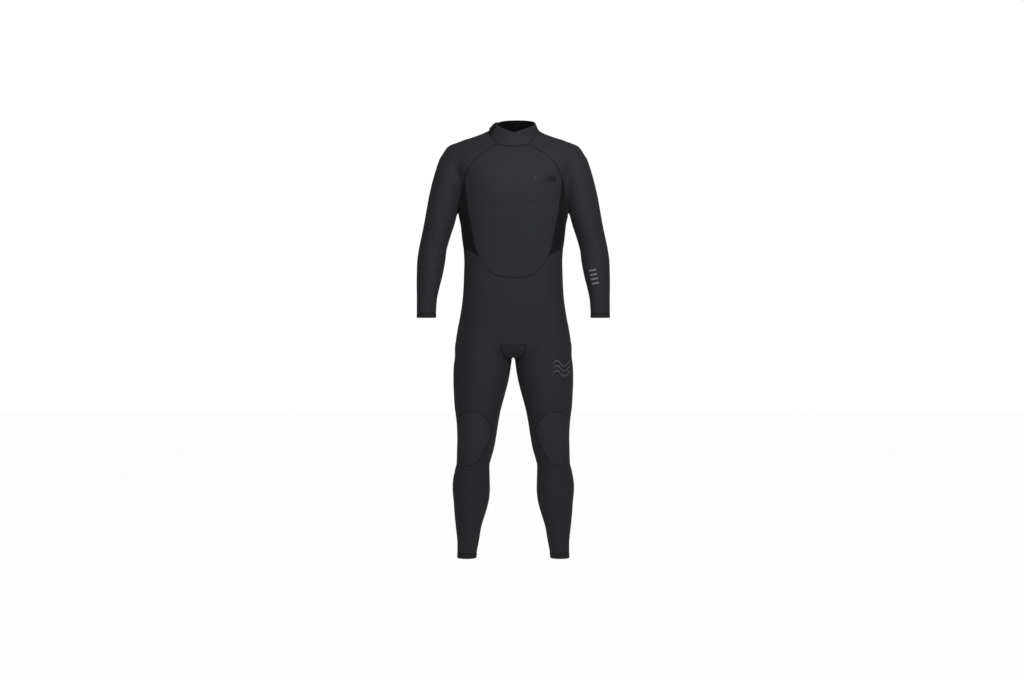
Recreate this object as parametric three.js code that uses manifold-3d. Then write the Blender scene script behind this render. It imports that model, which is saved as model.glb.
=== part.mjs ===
// A full-length back-zip wetsuit, standing in its worn shape: neoprene panels sewn edge to edge,
// each panel a closed 3 mm sheet pulled onto one body form. Millimetres, +Z up, front faces -Y,
// the wearer's left is +X, and z = 0 is the seam at the front of the neck.
import * as THREE from "three";
import Module from "manifold-3d";

const wasm = await Module();
wasm.setup();
const { Manifold } = wasm;

// ---- driving dimensions -------------------------------------------------------------------
const SUIT_T = 3; // neoprene thickness
const PAD_RISE = 1.2; // how far the knee pads stand proud
const SNAP = 256; // vertices sit on a grid of this many steps to the millimetre
const GAP = 0.35; // each panel stops this far short of its seam
const CUFF_H = 16; // hem band at the ankle
const WRIST_H = 14; // hem band at the wrist
const ANKLE_Z = -1352;
const WRIST_Z = -565;
const KNEE_TOP = -874;
const KNEE_LOW = -1043;
const KNEE_Z = (KNEE_TOP + KNEE_LOW) / 2;
const ELBOW_TOP = -277;
const ELBOW_LOW = -407;
const APEX_Z = -224; // armpit
const HIP_Z = -640; // seam between the trunk and the thighs
const ZIP_TOP = -12;
const ZIP_LOW = -432;
const ZIP_HALF = 11; // half the width of the zip, teeth and both tapes
const TEETH_HALF = 2.6;
const TEETH_RISE = 1.6; // teeth stand this far above the tapes
const BACK_Y = 96; // the spine line, straight so that the zip slides
const WAIST_FRONT_Z = -436;
const WAIST_BACK_Z = -446;
const CHAIN_Y = BACK_Y + TEETH_RISE; // outer face of the teeth
const SLIDER_L = 15;
const SLIDER_W = 9;
const PLATE_T = 2; // slider top plate
const BRIDGE_H = 4.1; // how far the slider's bridge stands off its plate
const BRIDGE_W = 4;
const PULL_L = 46;
const PULL_W = 8;
const PULL_T = 1.6;
const CLEAR = 0.3; // between parts that touch or slide
const STOP_L = 5;
const PATCH_T = 1; // hook and loop
const TAB_T = 2; // collar tab
const ON_COLLAR = 0.7; // the closure lies this far off the form, clear of its facets
const COLLAR_FRONT = 38; // top edge of the collar, front and back
const COLLAR_BACK = 92;
const BAFFLE_HALF = 26;
const BAFFLE_TOP = -30;
const BAFFLE_IN = 0.9; // clearance behind the back panels

// ---- the body form ------------------------------------------------------------------------
// Each limb is a stack of level sections: height, centre x, centre y, half width,
// depth to the front, depth to the back, roundness (2 is an ellipse, more is squarer).
const TRUNK = [
  [60, 0, 0, 62, 30, 48, 2], [41, 0, 0, 100, 36, 62, 2], [31, 0, 0, 126, 42, 72, 2],
  [21, 0, 0, 155, 48, 80, 2], [11, 0, 0, 184, 55, 88, 2], [0, 0, 0, 206, 64, 93, 2.05],
  [-10, 0, 0, 214, 72, 96, 2.1], [-25, 0, 0, 220, 82, 96, 2.15], [-64, 0, 0, 206, 102, 96, 2.3],
  [-110, 0, 0, 184, 114, 96, 2.4], [-165, 0, 0, 176, 119, 96, 2.45], [-222, 0, 0, 180, 116, 96, 2.5],
  [-261, 0, 0, 173, 112, 96, 2.5], [-300, 0, 0, 169, 108, 96, 2.5], [-340, 0, 0, 163.5, 105, 96, 2.5],
  [-379, 0, 0, 161, 103, 96, 2.5], [-419, 0, 0, 162, 103, 96, 2.45], [-450, 0, 0, 163, 104, 96, 2.4],
  [-470, 0, 0, 164, 104.5, 97.5, 2.4], [-498, 0, 0, 166, 105, 102, 2.35],
  [-537, 0, 0, 171, 104, 113, 2.3], [-576, 0, 0, 178, 101, 121, 2.3],
  [-606, 0, 0, 183, 98, 125, 2.3], [-640, 0, 0, 187, 93, 126, 2.3], [-675, 0, 0, 190, 86, 121, 2.3],
  [-712, 0, 0, 190, 76, 108, 2.3],
];
const NECK = [
  [100, 12, -4, 56, 62, 62, 2], [84, 12, -4, 58, 63, 64, 2], [71, 9, -4, 65, 64, 68, 2],
  [61, 7.5, -4, 71, 65, 72, 2], [51, 5, -4, 76, 66, 76, 2], [41, 3, -3, 80, 67, 79, 2],
  [20, 0, -2, 82, 68, 78, 2], [0, 0, -2, 80, 68, 70, 2], [-30, 0, 0, 72, 60, 60, 2],
];
const ARM = [
  [14, 138, 6, 24, 18, 20, 2], [2, 166, 6, 40, 34, 38, 2], [-10, 174, 6, 46, 44, 47, 2],
  [-25, 181, 6, 50, 51, 53, 2], [-44, 188, 6, 55, 57, 58, 2], [-103, 207, 5, 55, 62, 61, 2.05],
  [-163, 223, 3, 53.5, 62, 60, 2.1], [-222, 235.5, 0, 51.5, 60, 58, 2.1], [-261, 244, -2, 50, 57, 56, 2.1],
  [-300, 254.5, -4, 47.5, 53, 53, 2.1], [-340, 264, -7, 46, 50, 51, 2.1], [-379, 269, -12, 46, 49, 49, 2.1],
  [-419, 273, -19, 43, 47, 46, 2.1], [-458, 277.5, -27, 38.5, 42, 41, 2.1], [-498, 281.5, -35, 33.5, 35, 35, 2.1],
  [-537, 283, -42, 31.8, 30, 30, 2.1], [-575, 283, -48, 31.4, 29, 29, 2.1],
];
const LEG = [
  [-600, 93, 4, 78, 84, 100, 2.1], [-640, 95, 4, 88, 88, 108, 2.1], [-675, 97, 4, 92, 90, 106, 2.1],
  [-698, 98.5, 4, 94, 91, 102, 2.1], [-721, 101.5, 4, 94.3, 91, 98, 2.1], [-767, 106, 4, 91, 89, 93, 2.1],
  [-813, 111, 3, 84.5, 84, 87, 2.1], [-859, 115.8, 2, 76.8, 77, 80, 2.1], [-905, 117.5, 0, 69, 71, 73, 2.1],
  [-951, 119.8, -2, 64.3, 67, 66, 2.1], [-997, 124.5, -1, 60.5, 62, 63, 2.1], [-1043, 132, 3, 55, 56, 64, 2.1],
  [-1066, 135.2, 5, 57.3, 55, 68, 2.1], [-1100, 138, 8, 60.8, 55, 74, 2.1], [-1135, 138.3, 10, 61.3, 55, 76, 2.1],
  [-1170, 138.8, 11, 57.5, 54, 72, 2.1], [-1204, 142.2, 11, 51.8, 52, 65, 2.1], [-1250, 147, 10, 42.5, 48, 56, 2.1],
  [-1296, 148.5, 8, 36, 44, 49, 2.1], [-1330, 151.5, 6, 32.6, 42, 46, 2.1], [-1360, 153, 5, 31.5, 42, 46, 2.1],
];
const TRUNK_END = -694; // the trunk form stops here, between the thighs
const BLEND = { shoulder: 16, armpit: 7, leg: 16, neck: 18, crotch: 8 };

// A section at any height, by a smooth curve through the rows of the table.
function section(table, z) {
  const last = table.length - 1;
  let i = 0;
  while (i < last - 1 && z < table[i + 1][0]) i++;
  const [p, q] = [table[i], table[i + 1]];
  const t = Math.min(1, Math.max(0, (z - p[0]) / (q[0] - p[0])));
  const [before, after] = [table[Math.max(0, i - 1)], table[Math.min(last, i + 2)]];
  const slope = (a, b, k) => (a === b ? 0 : (b[k] - a[k]) / (b[0] - a[0]));
  return p.map((_, k) => {
    const h = q[0] - p[0], m0 = slope(before, q, k) * h, m1 = slope(p, after, k) * h;
    const d = q[k] - p[k];
    return p[k] + m0 * t + (3 * d - 2 * m0 - m1) * t * t + (m0 + m1 - 2 * d) * t * t * t;
  });
}

// Signed distance, about, from the wall of a limb (negative inside); past its ends it grows.
function limb(table, x, y, z) {
  const [, cx, cy, a, front, back, n] = section(table, z);
  const b = y < cy ? front : back;
  const u = Math.abs(x - cx) / a + 1e-6, v = Math.abs(y - cy) / b + 1e-6;
  const r = (u ** n + v ** n) ** (1 / n);
  const steep = Math.hypot(u ** (n - 1) / a, v ** (n - 1) / b) / r ** (n - 1);
  return Math.max((r - 1) / steep, z - table[0][0], table.at(-1)[0] - z);
}
function merge(a, b, k) {
  const h = Math.max(0, 1 - Math.abs(a - b) / k);
  return Math.min(a, b) - (h * h * k) / 4;
}
function field([x, y, z]) {
  let f = Math.max(limb(TRUNK, x, y, z), TRUNK_END - z);
  if (z > -90) f = merge(f, limb(NECK, x, y, z), BLEND.neck);
  if (z > -640) {
    // The fillet is wide over the shoulder and tight in the armpit.
    const k = BLEND.armpit + (BLEND.shoulder - BLEND.armpit) * Math.min(1, Math.max(0, (z + 220) / 100));
    f = merge(f, limb(ARM, Math.abs(x), y, z), k);
  }
  if (z < -560)
    f = merge(f, merge(limb(LEG, x, y, z), limb(LEG, -x, y, z), BLEND.crotch), BLEND.leg);
  return f;
}
function gradient(p) {
  return [0, 1, 2].map((k) => {
    const e = 0.4, a = [...p], b = [...p];
    a[k] += e;
    b[k] -= e;
    return (field(a) - field(b)) / (2 * e);
  });
}
// Pulls a point onto the form, moving it only along the axes that are free.
function settle(start, free = [1, 1, 1]) {
  const p = [...start];
  for (let n = 0; n < 60; n++) {
    const f = field(p), g = gradient(p).map((v, k) => v * free[k]);
    const gg = g[0] ** 2 + g[1] ** 2 + g[2] ** 2 + 1e-4;
    const step = Math.min(1, (5 * Math.sqrt(gg)) / (Math.abs(f) + 1e-9));
    p.forEach((_, k) => (p[k] -= (step * f * g[k]) / gg));
    if (Math.abs(f) < 1e-5) break;
  }
  return p;
}
// A point of the front (way -1) or back (way 1) at a given x and z, found from outside inwards.
function facing(x, z, way) {
  let y = 190;
  while (y > 0 && field([x, way * y, z]) > 0) y -= 3;
  if (y <= 0) return settle([x, 0, z]);
  return settle([x, way * (y + 1.5), z], [0, 1, 0]);
}
const front = (x, z) => facing(x, z, -1);
const back = (x, z) => facing(x, z, 1);
const free = (x, y, z) => settle([x, y, z]);
// A point at an angle round a limb: 0 is the front, 90 the outer side, 180 the back.
function round(table, side, degrees, z) {
  const [, cx, cy, a, bf, bb] = section(table, z), t = (degrees * Math.PI) / 180;
  const y = cy - Math.cos(t) * (Math.cos(t) > 0 ? bf : bb);
  return settle([side * (cx + a * Math.sin(t)), y, z], [1, 1, 0]);
}

// ---- seams and panels ---------------------------------------------------------------------
const minus = (a, b) => a.map((v, k) => v - b[k]);
const plus = (a, b, s = 1) => a.map((v, k) => v + s * b[k]);
const size = (a) => Math.hypot(...a);
const unit = (a) => a.map((v) => v / (size(a) || 1));
const cross = (a, b) => [
  a[1] * b[2] - a[2] * b[1], a[2] * b[0] - a[0] * b[2], a[0] * b[1] - a[1] * b[0],
];
const mix = (a, b, t) => a.map((v, k) => v + (b[k] - v) * t);

// A seam: a smooth curve through points of the form, cut into `count` equal steps on the form.
function seam(points, count, level = null) {
  const curve = new THREE.CatmullRomCurve3(
    points.map((p) => new THREE.Vector3(...p)), false, "centripetal");
  return Array.from({ length: count + 1 }, (_, i) => {
    const p = curve.getPointAt(i / count).toArray();
    if (i === 0) return points[0];
    if (i === count) return points.at(-1);
    return level === null ? settle(p) : settle([p[0], p[1], level], [1, 1, 0]);
  });
}
const join = (...parts) => parts.flatMap((s, i) => (i ? s.slice(1) : s));
const turned = (s) => [...s].reverse();

// Fills the space between four seams (rows run from `left` to `right`), band by band where
// guide rows are given, and pulls every inner point onto the form.
function fill(left, right, rows) {
  const grid = left.map(() => null);
  rows.forEach(([at, row]) => (grid[at] = row));
  for (let b = 0; b + 1 < rows.length; b++) {
    const [i0, top] = rows[b], [i1, low] = rows[b + 1];
    for (let i = i0 + 1; i < i1; i++) {
      const v = (i - i0) / (i1 - i0);
      grid[i] = top.map((_, j) => {
        const u = j / (top.length - 1);
        if (j === 0) return left[i];
        if (j === top.length - 1) return right[i];
        const ruled = mix(top[j], low[j], v), sides = mix(left[i], right[i], u);
        const corners = mix(mix(top[0], top.at(-1), u), mix(low[0], low.at(-1), u), v);
        return settle(plus(plus(ruled, sides), corners, -1));
      });
    }
  }
  return grid;
}
const normalAt = (p) => unit(gradient(p));

// Draws the edge of a grid back from its seams by GAP, square to each seam.
function drawnBack(grid, looped, gap = GAP) {
  const rows = grid.length, cols = grid[0].length;
  return grid.map((row, i) =>
    row.map((p, j) => {
      let q = p;
      const n = normalAt(p);
      const pull = (along, inward) => {
        const d = unit(cross(n, unit(along)));
        const s = d[0] * inward[0] + d[1] * inward[1] + d[2] * inward[2] < 0 ? -1 : 1;
        q = plus(q, d, s * gap);
      };
      const across = minus(row[Math.min(cols - 1, j + 1)], row[Math.max(0, j - 1)]);
      const down = minus(grid[Math.min(rows - 1, i + 1)][j], grid[Math.max(0, i - 1)][j]);
      if (i === 0) pull(looped ? minus(row[(j + 1) % cols], row[(j + cols - 1) % cols]) : across,
        minus(grid[1][j], p));
      if (i === rows - 1) pull(looped ? minus(row[(j + 1) % cols], row[(j + cols - 1) % cols]) : across,
        minus(grid[rows - 2][j], p));
      if (!looped && j === 0) pull(down, minus(row[1], p));
      if (!looped && j === cols - 1) pull(down, minus(row[cols - 2], p));
      return q;
    }));
}

const suit = new THREE.Group();
suit.name = "full_wetsuit";
const SHADES = { body: 0x2c2d30, side: 0x141518, trim: 0x1b1c1f, metal: 0x3a3b3e, patch: 0x0c0c0d };
function add(name, geometry, shade) {
  const mesh = new THREE.Mesh(geometry, new THREE.MeshStandardMaterial({
    color: SHADES[shade], roughness: shade === "metal" ? 0.45 : 0.85,
  }));
  mesh.name = name;
  suit.add(mesh);
  return mesh;
}
// A closed sheet: the outer face `rise` above the form, the inner face `thick` below that.
function sheet(name, grid, options = {}) {
  const { shade = "body", looped = false, rise = 0, thick = SUIT_T, level = false, gap = GAP,
    lift = null, turn = false } = options;
  const drawn = drawnBack(grid, looped, gap);
  const rows = drawn.length, cols = drawn[0].length, verts = [], faces = [];
  for (const depth of [rise, rise - thick])
    drawn.forEach((row) => row.forEach((p, j) => {
      const n = normalAt(p), out = level ? unit([n[0], n[1], 0]) : n;
      const q = plus(p, out, depth + (lift ? lift(j / (cols - 1)) : 0));
      verts.push(...q.map((v) => Math.round(v * SNAP) / SNAP));
    }));
  const at = (i, j, inner) => inner * rows * cols + i * cols + (looped ? j % cols : j);
  const quad = (a, b, c, d) => faces.push(...(turn ? [b, c, d, b, d, a] : [a, b, c, a, c, d]));
  const wide = looped ? cols : cols - 1;
  for (let i = 0; i < rows - 1; i++)
    for (let j = 0; j < wide; j++) {
      quad(at(i, j, 0), at(i + 1, j, 0), at(i + 1, j + 1, 0), at(i, j + 1, 0));
      quad(at(i, j, 1), at(i, j + 1, 1), at(i + 1, j + 1, 1), at(i + 1, j, 1));
    }
  for (let j = 0; j < wide; j++) {
    quad(at(0, j, 0), at(0, j + 1, 0), at(0, j + 1, 1), at(0, j, 1));
    quad(at(rows - 1, j, 0), at(rows - 1, j, 1), at(rows - 1, j + 1, 1), at(rows - 1, j + 1, 0));
  }
  if (!looped)
    for (let i = 0; i < rows - 1; i++) {
      quad(at(i, 0, 0), at(i, 0, 1), at(i + 1, 0, 1), at(i + 1, 0, 0));
      quad(at(i, cols - 1, 0), at(i + 1, cols - 1, 0), at(i + 1, cols - 1, 1), at(i, cols - 1, 1));
    }
  // turn the faces out: the sign of the volume tells which way they face
  let volume = 0;
  const v = (k) => verts.slice(3 * k, 3 * k + 3);
  for (let k = 0; k < faces.length; k += 3) {
    const [a, b, c] = [v(faces[k]), v(faces[k + 1]), v(faces[k + 2])], m = cross(b, c);
    volume += a[0] * m[0] + a[1] * m[1] + a[2] * m[2];
  }
  if (volume < 0) faces.reverse();
  const geometry = new THREE.BufferGeometry();
  geometry.setAttribute("position", new THREE.Float32BufferAttribute(verts, 3));
  geometry.setIndex(faces);
  geometry.computeVertexNormals();
  return add(name, geometry, shade);
}

// ---- the seams of one half, side 1 for the wearer's left, -1 for the right ------------------
function half(side) {
  const F = (x, z) => front(side * x, z), B = (x, z) => back(side * x, z);
  const P = (x, y, z) => free(side * x, y, z);
  const arm = (a, z) => round(ARM, side, a, z), leg = (a, z) => round(LEG, side, a, z);
  const s = {};
  const neckFront = F(52, 0), neckBack = P(48, 66, 46), neckZip = P(ZIP_HALF, 74, 44);
  const waistZip = B(ZIP_HALF, WAIST_BACK_Z), frontPit = F(158, -110), backPit = B(158, -110);
  const apex = P(182, 2, APEX_Z), tip = F(113, -366), backTip = B(113, -366);
  const flank = P(165, 0, -334);
  s.raglanFront = seam([neckFront, F(87, -23), F(112, -41), F(133, -62), F(147, -85), frontPit], 6);
  s.raglanBack = seam([neckBack, B(84, 14), B(112, -16), B(135, -52), backPit], 6);
  s.neckSide = seam([neckFront, P(66, -42, 20), P(83, -4, 47), P(72, 40, 50), neckBack], 12);
  s.neckBack = seam([neckBack, P(30, 72, 45), neckZip], 5);
  s.sideFront = seam([frontPit, F(156, -150), F(150, -200), F(136, -276), F(125, -332), tip], 8);
  s.sideBack = seam([backPit, B(154, -150), B(148, -200), B(134, -276), B(124, -332), backTip], 8);
  s.pitFront = seam([frontPit, F(168, -150), F(177, -182), apex], 3);
  s.pitBack = seam([backPit, B(168, -150), B(177, -182), apex], 3);
  s.flankFront = seam([tip, F(138, -349), flank], 3);
  s.flankBack = seam([backTip, B(138, -349), flank], 3);
  s.zipEdge = seam([neckZip, B(ZIP_HALF, 20), B(ZIP_HALF, 0), B(ZIP_HALF, -30),
    B(ZIP_HALF, -220), B(ZIP_HALF, -400), waistZip], 14);
  s.waistBack = seam([backTip, B(68, -424), B(40, -438), waistZip], 5);
  const hipOut = P(187, 4, HIP_Z), gussetFront = F(42, -653), gussetBack = B(42, -646);
  const inseam = P(13, 4, -716);
  s.outer = seam([flank, P(162, 2, -400), P(168, 4, -520), hipOut], 8);
  s.hipFront = seam([hipOut, F(150, -644), F(100, -650), gussetFront], 6);
  s.hipBack = seam([hipOut, B(150, -641), B(100, -644), gussetBack], 6);
  s.gussetFront = seam([gussetFront, F(30, -690), inseam], 3);
  s.gussetBack = seam([gussetBack, B(30, -690), inseam], 3);
  s.centreBack = seam([B(0, WAIST_BACK_Z), B(0, -520), B(0, -646)], 8);
  const kneeOut = leg(90, KNEE_TOP), kneeIn = leg(-90, KNEE_TOP);
  s.thighOut = seam([hipOut, leg(90, -720), leg(90, -800), kneeOut], 8);
  s.thighIn = seam([inseam, leg(-90, -780), kneeIn], 5);
  const onRing = (x, z) => { // the front of the leg at a given x, without leaving the level
    const [, cx, , a] = section(LEG, z);
    return leg((Math.asin(Math.max(-1, Math.min(1, (x - cx) / a))) * 180) / Math.PI, z);
  };
  const padTO = onRing(167, KNEE_TOP - 9), padTI = onRing(101, KNEE_TOP - 6);
  const padLO = onRing(165, KNEE_LOW + 8), padLI = onRing(118, KNEE_LOW + 7);
  const kneeLowOut = leg(90, KNEE_LOW), kneeLowIn = leg(-90, KNEE_LOW);
  s.kneeA = seam([kneeOut, padTO], 1);
  s.kneeB = seam([padTO, onRing(152, KNEE_TOP + 3), onRing(122, KNEE_TOP + 4), padTI], 3);
  s.kneeC = seam([padTI, onRing(70, KNEE_TOP - 3), kneeIn], 2);
  const behind = [130, 155, 180, 205, 230];
  s.kneeD = seam([kneeOut, ...behind.map((a) => leg(a, KNEE_TOP)), kneeIn], 6, KNEE_TOP);
  s.lowA = seam([kneeLowOut, padLO], 1);
  s.lowB = seam([padLO, onRing(153, KNEE_LOW - 3), onRing(133, KNEE_LOW - 3), padLI], 3);
  s.lowC = seam([padLI, onRing(96, KNEE_LOW + 3), kneeLowIn], 2);
  s.lowD = seam([kneeLowOut, ...behind.map((a) => leg(a, KNEE_LOW)), kneeLowIn], 6, KNEE_LOW);
  s.padOut = seam([padTO, onRing(177, KNEE_TOP - 38), onRing(179, KNEE_TOP - 86),
    onRing(174, KNEE_LOW + 36), padLO], 6);
  s.padIn = seam([padTI, onRing(84, KNEE_TOP - 24), onRing(72, KNEE_TOP - 52), onRing(74, KNEE_TOP - 76),
    onRing(88, KNEE_TOP - 108), onRing(103, KNEE_LOW + 32), padLI], 6);
  const cuffTop = ANKLE_Z + CUFF_H;
  s.shinOut = seam([kneeLowOut, leg(90, -1110), leg(90, -1200), leg(90, cuffTop)], 7);
  s.shinIn = seam([kneeLowIn, leg(-90, -1110), leg(-90, -1200), leg(-90, cuffTop)], 7);
  const ring = (limbAt, z, count) => Array.from({ length: count },
    (_, i) => limbAt(-90 + (360 * i) / count, z));
  s.ankle = ring(leg, cuffTop, 12);
  s.hem = ring(leg, ANKLE_Z, 12);
  s.elbowTop = ring(arm, ELBOW_TOP, 12);
  s.elbowLow = ring(arm, ELBOW_LOW, 12);
  s.wristTop = ring(arm, WRIST_Z + WRIST_H, 12);
  s.wristLow = ring(arm, WRIST_Z, 12);
  s.underarm = seam([apex, arm(-90, -240), s.elbowTop[0]], 4);
  s.deltoid = seam([frontPit, F(190, -104), F(225, -96), arm(90, -86), B(225, -96), B(190, -104),
    backPit], 12);
  s.armRing = [apex, ...Array.from({ length: 11 },
    (_, i) => arm(-90 + 30 * (i + 1), APEX_Z - 6)), apex];
  s.ring = (limbAt, z) => ring(limbAt, z, 12);
  Object.assign(s, { arm, leg, neckFront, neckZip });
  return s;
}
const L = half(1), R = half(-1);
const sides = [["left", L], ["right", R]];

// ---- trunk --------------------------------------------------------------------------------
const neckLine = seam([R.neckFront, front(-28, -6), front(0, -8), front(28, -6), L.neckFront], 12);
const waistLine = seam([R.sideFront.at(-1), front(-68, -422), front(0, WAIST_FRONT_Z),
  front(68, -422), L.sideFront.at(-1)], 12);
sheet("front_panel", fill(join(R.raglanFront, R.sideFront), join(L.raglanFront, L.sideFront),
  [[0, neckLine], [14, waistLine]]));
const gussetTop = seam([R.gussetFront[0], front(0, -656), L.gussetFront[0]], 6);
const gussetBack = seam([R.gussetBack[0], back(0, -646), L.gussetBack[0]], 6);
L.centreBack[8] = R.centreBack[8] = gussetBack[3];
sheet("lower_front_panel", fill(R.outer, L.outer, [
  [0, join(turned(R.flankFront), waistLine, L.flankFront)],
  [8, join(R.hipFront, gussetTop, turned(L.hipFront))]]));
sheet("crotch_gusset", fill(join(R.gussetFront, turned(R.gussetBack)),
  join(L.gussetFront, turned(L.gussetBack)), [[0, gussetTop],
    [3, seam([R.gussetFront.at(-1), free(0, 4, -704), L.gussetFront.at(-1)], 6)], [6, gussetBack]]));
for (const [word, s] of sides) {
  sheet("back_panel_" + word, fill(s.zipEdge, join(s.raglanBack, s.sideBack),
    [[0, turned(s.neckBack)], [14, turned(s.waistBack)]]));
  sheet("side_panel_" + word, fill(s.sideFront, s.sideBack, [
    [0, join(s.pitFront, turned(s.pitBack))], [8, join(s.flankFront, turned(s.flankBack))]]),
  { shade: "side", turn: true });
  const centreTop = [s.zipEdge.at(-1), s.centreBack[0]];
  const seatHem = word === "left" ? turned(gussetBack.slice(3)) : gussetBack.slice(0, 4);
  sheet("seat_" + word, fill(s.outer, s.centreBack, [
    [0, join(turned(s.flankBack), s.waistBack, centreTop)], [8, join(s.hipBack, seatHem)]]));

  // ---- sleeve -----------------------------------------------------------------------------
  const inner = (row) => [...row, row[0]];
  sheet("raglan_sleeve_" + word, fill(join(s.raglanFront, s.pitFront, s.underarm),
    join(s.raglanBack, s.pitBack, s.underarm),
    [[0, s.neckSide], [6, s.deltoid], [9, s.armRing], [13, inner(s.elbowTop)]]));
  const tube = (limbAt, from, to, steps) => Array.from({ length: steps + 1 },
    (_, i) => s.ring(limbAt, from + ((to - from) * i) / steps));
  sheet("elbow_" + word, tube(s.arm, ELBOW_TOP, ELBOW_LOW, 6), { looped: true });
  sheet("forearm_" + word, tube(s.arm, ELBOW_LOW, WRIST_Z + WRIST_H, 6), { looped: true });
  sheet("wrist_cuff_" + word, [s.wristTop, s.wristLow], { looped: true, level: true });

  // ---- leg --------------------------------------------------------------------------------
  sheet("thigh_front_" + word, fill(s.thighOut, join(s.gussetFront, s.thighIn),
    [[0, s.hipFront], [8, join(s.kneeA, s.kneeB, s.kneeC)]]));
  sheet("thigh_back_" + word, fill(s.thighOut, join(s.gussetBack, s.thighIn),
    [[0, s.hipBack], [8, s.kneeD]]));
  sheet("knee_pad_" + word, fill(s.padOut, s.padIn, [[0, s.kneeB], [6, s.lowB]]),
    { rise: PAD_RISE, thick: SUIT_T + PAD_RISE });
  sheet("knee_back_" + word, fill(s.padOut, s.padIn, [
    [0, join(turned(s.kneeA), s.kneeD, turned(s.kneeC))],
    [3, seam([s.padOut[3], ...[100, 135, 180, 225, 262].map((a) => s.leg(a, KNEE_Z)), s.padIn[3]], 9)],
    [6, join(turned(s.lowA), s.lowD, turned(s.lowC))]]));
  const cuffFront = [6, 5, 4, 3, 2, 1, 0].map((i) => s.ankle[i]);
  const cuffBack = [6, 7, 8, 9, 10, 11, 0].map((i) => s.ankle[i]);
  sheet("shin_" + word, fill(s.shinOut, s.shinIn, [[0, join(s.lowA, s.lowB, s.lowC)], [7, cuffFront]]));
  sheet("calf_" + word, fill(s.shinOut, s.shinIn, [[0, s.lowD], [7, cuffBack]]));
  sheet("ankle_cuff_" + word, [s.ankle, s.hem], { looped: true, level: true });
}

// ---- collar and its closure -----------------------------------------------------------------
const neckRing = join(neckLine, L.neckSide, L.neckBack, [L.neckZip, free(0, 75, 44), R.neckZip],
  turned(R.neckBack), turned(R.neckSide)).slice(0, -1);
const around = (p) => Math.atan2(p[0] - 4, -(p[1] + 2)); // 0 at the front, pi at the back
const rim = (t) => COLLAR_FRONT + (COLLAR_BACK - COLLAR_FRONT) * ((1 - Math.cos(t)) / 2) ** 0.45;
// A point of the collar: t is the angle round the neck, k runs from the seam (0) to the rim (1).
function onCollar(base, k) {
  const t = around(base), z = base[2] + (rim(t) - base[2]) * k;
  const [, cx, cy, a, bf, bb] = section(NECK, z);
  const guess = [cx + a * Math.sin(t), cy - Math.cos(t) * (Math.cos(t) > 0 ? bf : bb), z];
  return settle(mix([base[0] + cx, base[1], z], guess, Math.min(1, 2 * k)), [1, 1, 0]);
}
const collarRows = [0, 0.25, 0.5, 0.75, 1].map((k) => neckRing.map((p) => (k ? onCollar(p, k) : p)));
sheet("collar", collarRows, { looped: true });
// The closure wraps round the wearer's right of the neck, from behind the ear to the front.
function onNeck(degrees, k) {
  const t = (-degrees * Math.PI) / 180;
  const away = (p) => Math.abs(around(p) - t);
  const [p, q] = [...neckRing].sort((a, b) => away(a) - away(b));
  const seamZ = (p[2] * away(q) + q[2] * away(p)) / (away(p) + away(q) + 1e-9);
  const low = seamZ + 4, z = low + (rim(t) - 3 - low) * k;
  const [, cx, cy, a, bf, bb] = section(NECK, z);
  return settle([cx + a * Math.sin(t), cy - Math.cos(t) * (Math.cos(t) > 0 ? bf : bb), z], [1, 1, 0]);
}
const band = (from, to, cols, low, high) => [high, (high + low) / 2, low].map((k) =>
  Array.from({ length: cols + 1 }, (_, j) => onNeck(from + ((to - from) * j) / cols, k)));
const LOOP_RISE = ON_COLLAR + PATCH_T, HOOK_RISE = LOOP_RISE + CLEAR + PATCH_T;
const TAB_RISE = HOOK_RISE + 3 * CLEAR + TAB_T;
sheet("loop_patch", band(62, 92, 6, 0.12, 0.88), { shade: "patch", rise: LOOP_RISE, thick: PATCH_T });
sheet("hook_patch", band(62, 92, 6, 0.12, 0.88), { shade: "patch", rise: HOOK_RISE, thick: PATCH_T });
sheet("collar_tab", band(58, 140, 16, 0.05, 0.95), { shade: "trim", rise: TAB_T + ON_COLLAR,
  thick: TAB_T, lift: (u) => (TAB_RISE - TAB_T - ON_COLLAR) * Math.min(1, Math.max(0, (0.75 - u) / 0.3)) });

// ---- back zip -------------------------------------------------------------------------------
const strip = (x0, x1, z0, z1, rows, cols = 1) => Array.from({ length: rows + 1 }, (_, i) =>
  Array.from({ length: cols + 1 }, (_, j) => back(x0 + ((x1 - x0) * j) / cols, z0 + ((z1 - z0) * i) / rows)));
const garage = strip(-ZIP_HALF, ZIP_HALF, 30, ZIP_TOP, 3, 2);
sheet("zip_garage", [[R.neckZip, free(0, 75, 44), L.neckZip], ...garage]);
const edge = TEETH_HALF + CLEAR;
for (const [word, way] of [["left", 1], ["right", -1]])
  sheet("zip_tape_" + word, strip(way * edge, way * ZIP_HALF, ZIP_TOP, WAIST_BACK_Z, 5),
    { shade: "trim", rise: -0.4, thick: 1.4 });
sheet("zip_teeth", strip(-TEETH_HALF, TEETH_HALF, ZIP_TOP, WAIST_BACK_Z, 5),
  { shade: "trim", rise: TEETH_RISE, thick: SUIT_T, gap: 0.05 });
sheet("zip_baffle", strip(-BAFFLE_HALF, BAFFLE_HALF, BAFFLE_TOP, WAIST_BACK_Z, 5, 4),
  { shade: "trim", rise: -SUIT_T - BAFFLE_IN, thick: 1.5 });
const block = (x, y0, y1, z0, z1) => Manifold.cube([2 * x, y1 - y0, z1 - z0]).translate([-x, y0, z0]);
function solid(name, shape, shade) {
  const m = shape.getMesh(), geometry = new THREE.BufferGeometry();
  geometry.setAttribute("position", new THREE.Float32BufferAttribute(m.vertProperties, 3));
  geometry.setIndex([...m.triVerts]);
  return add(name, geometry, shade);
}
const stopY = CHAIN_Y + CLEAR;
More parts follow.
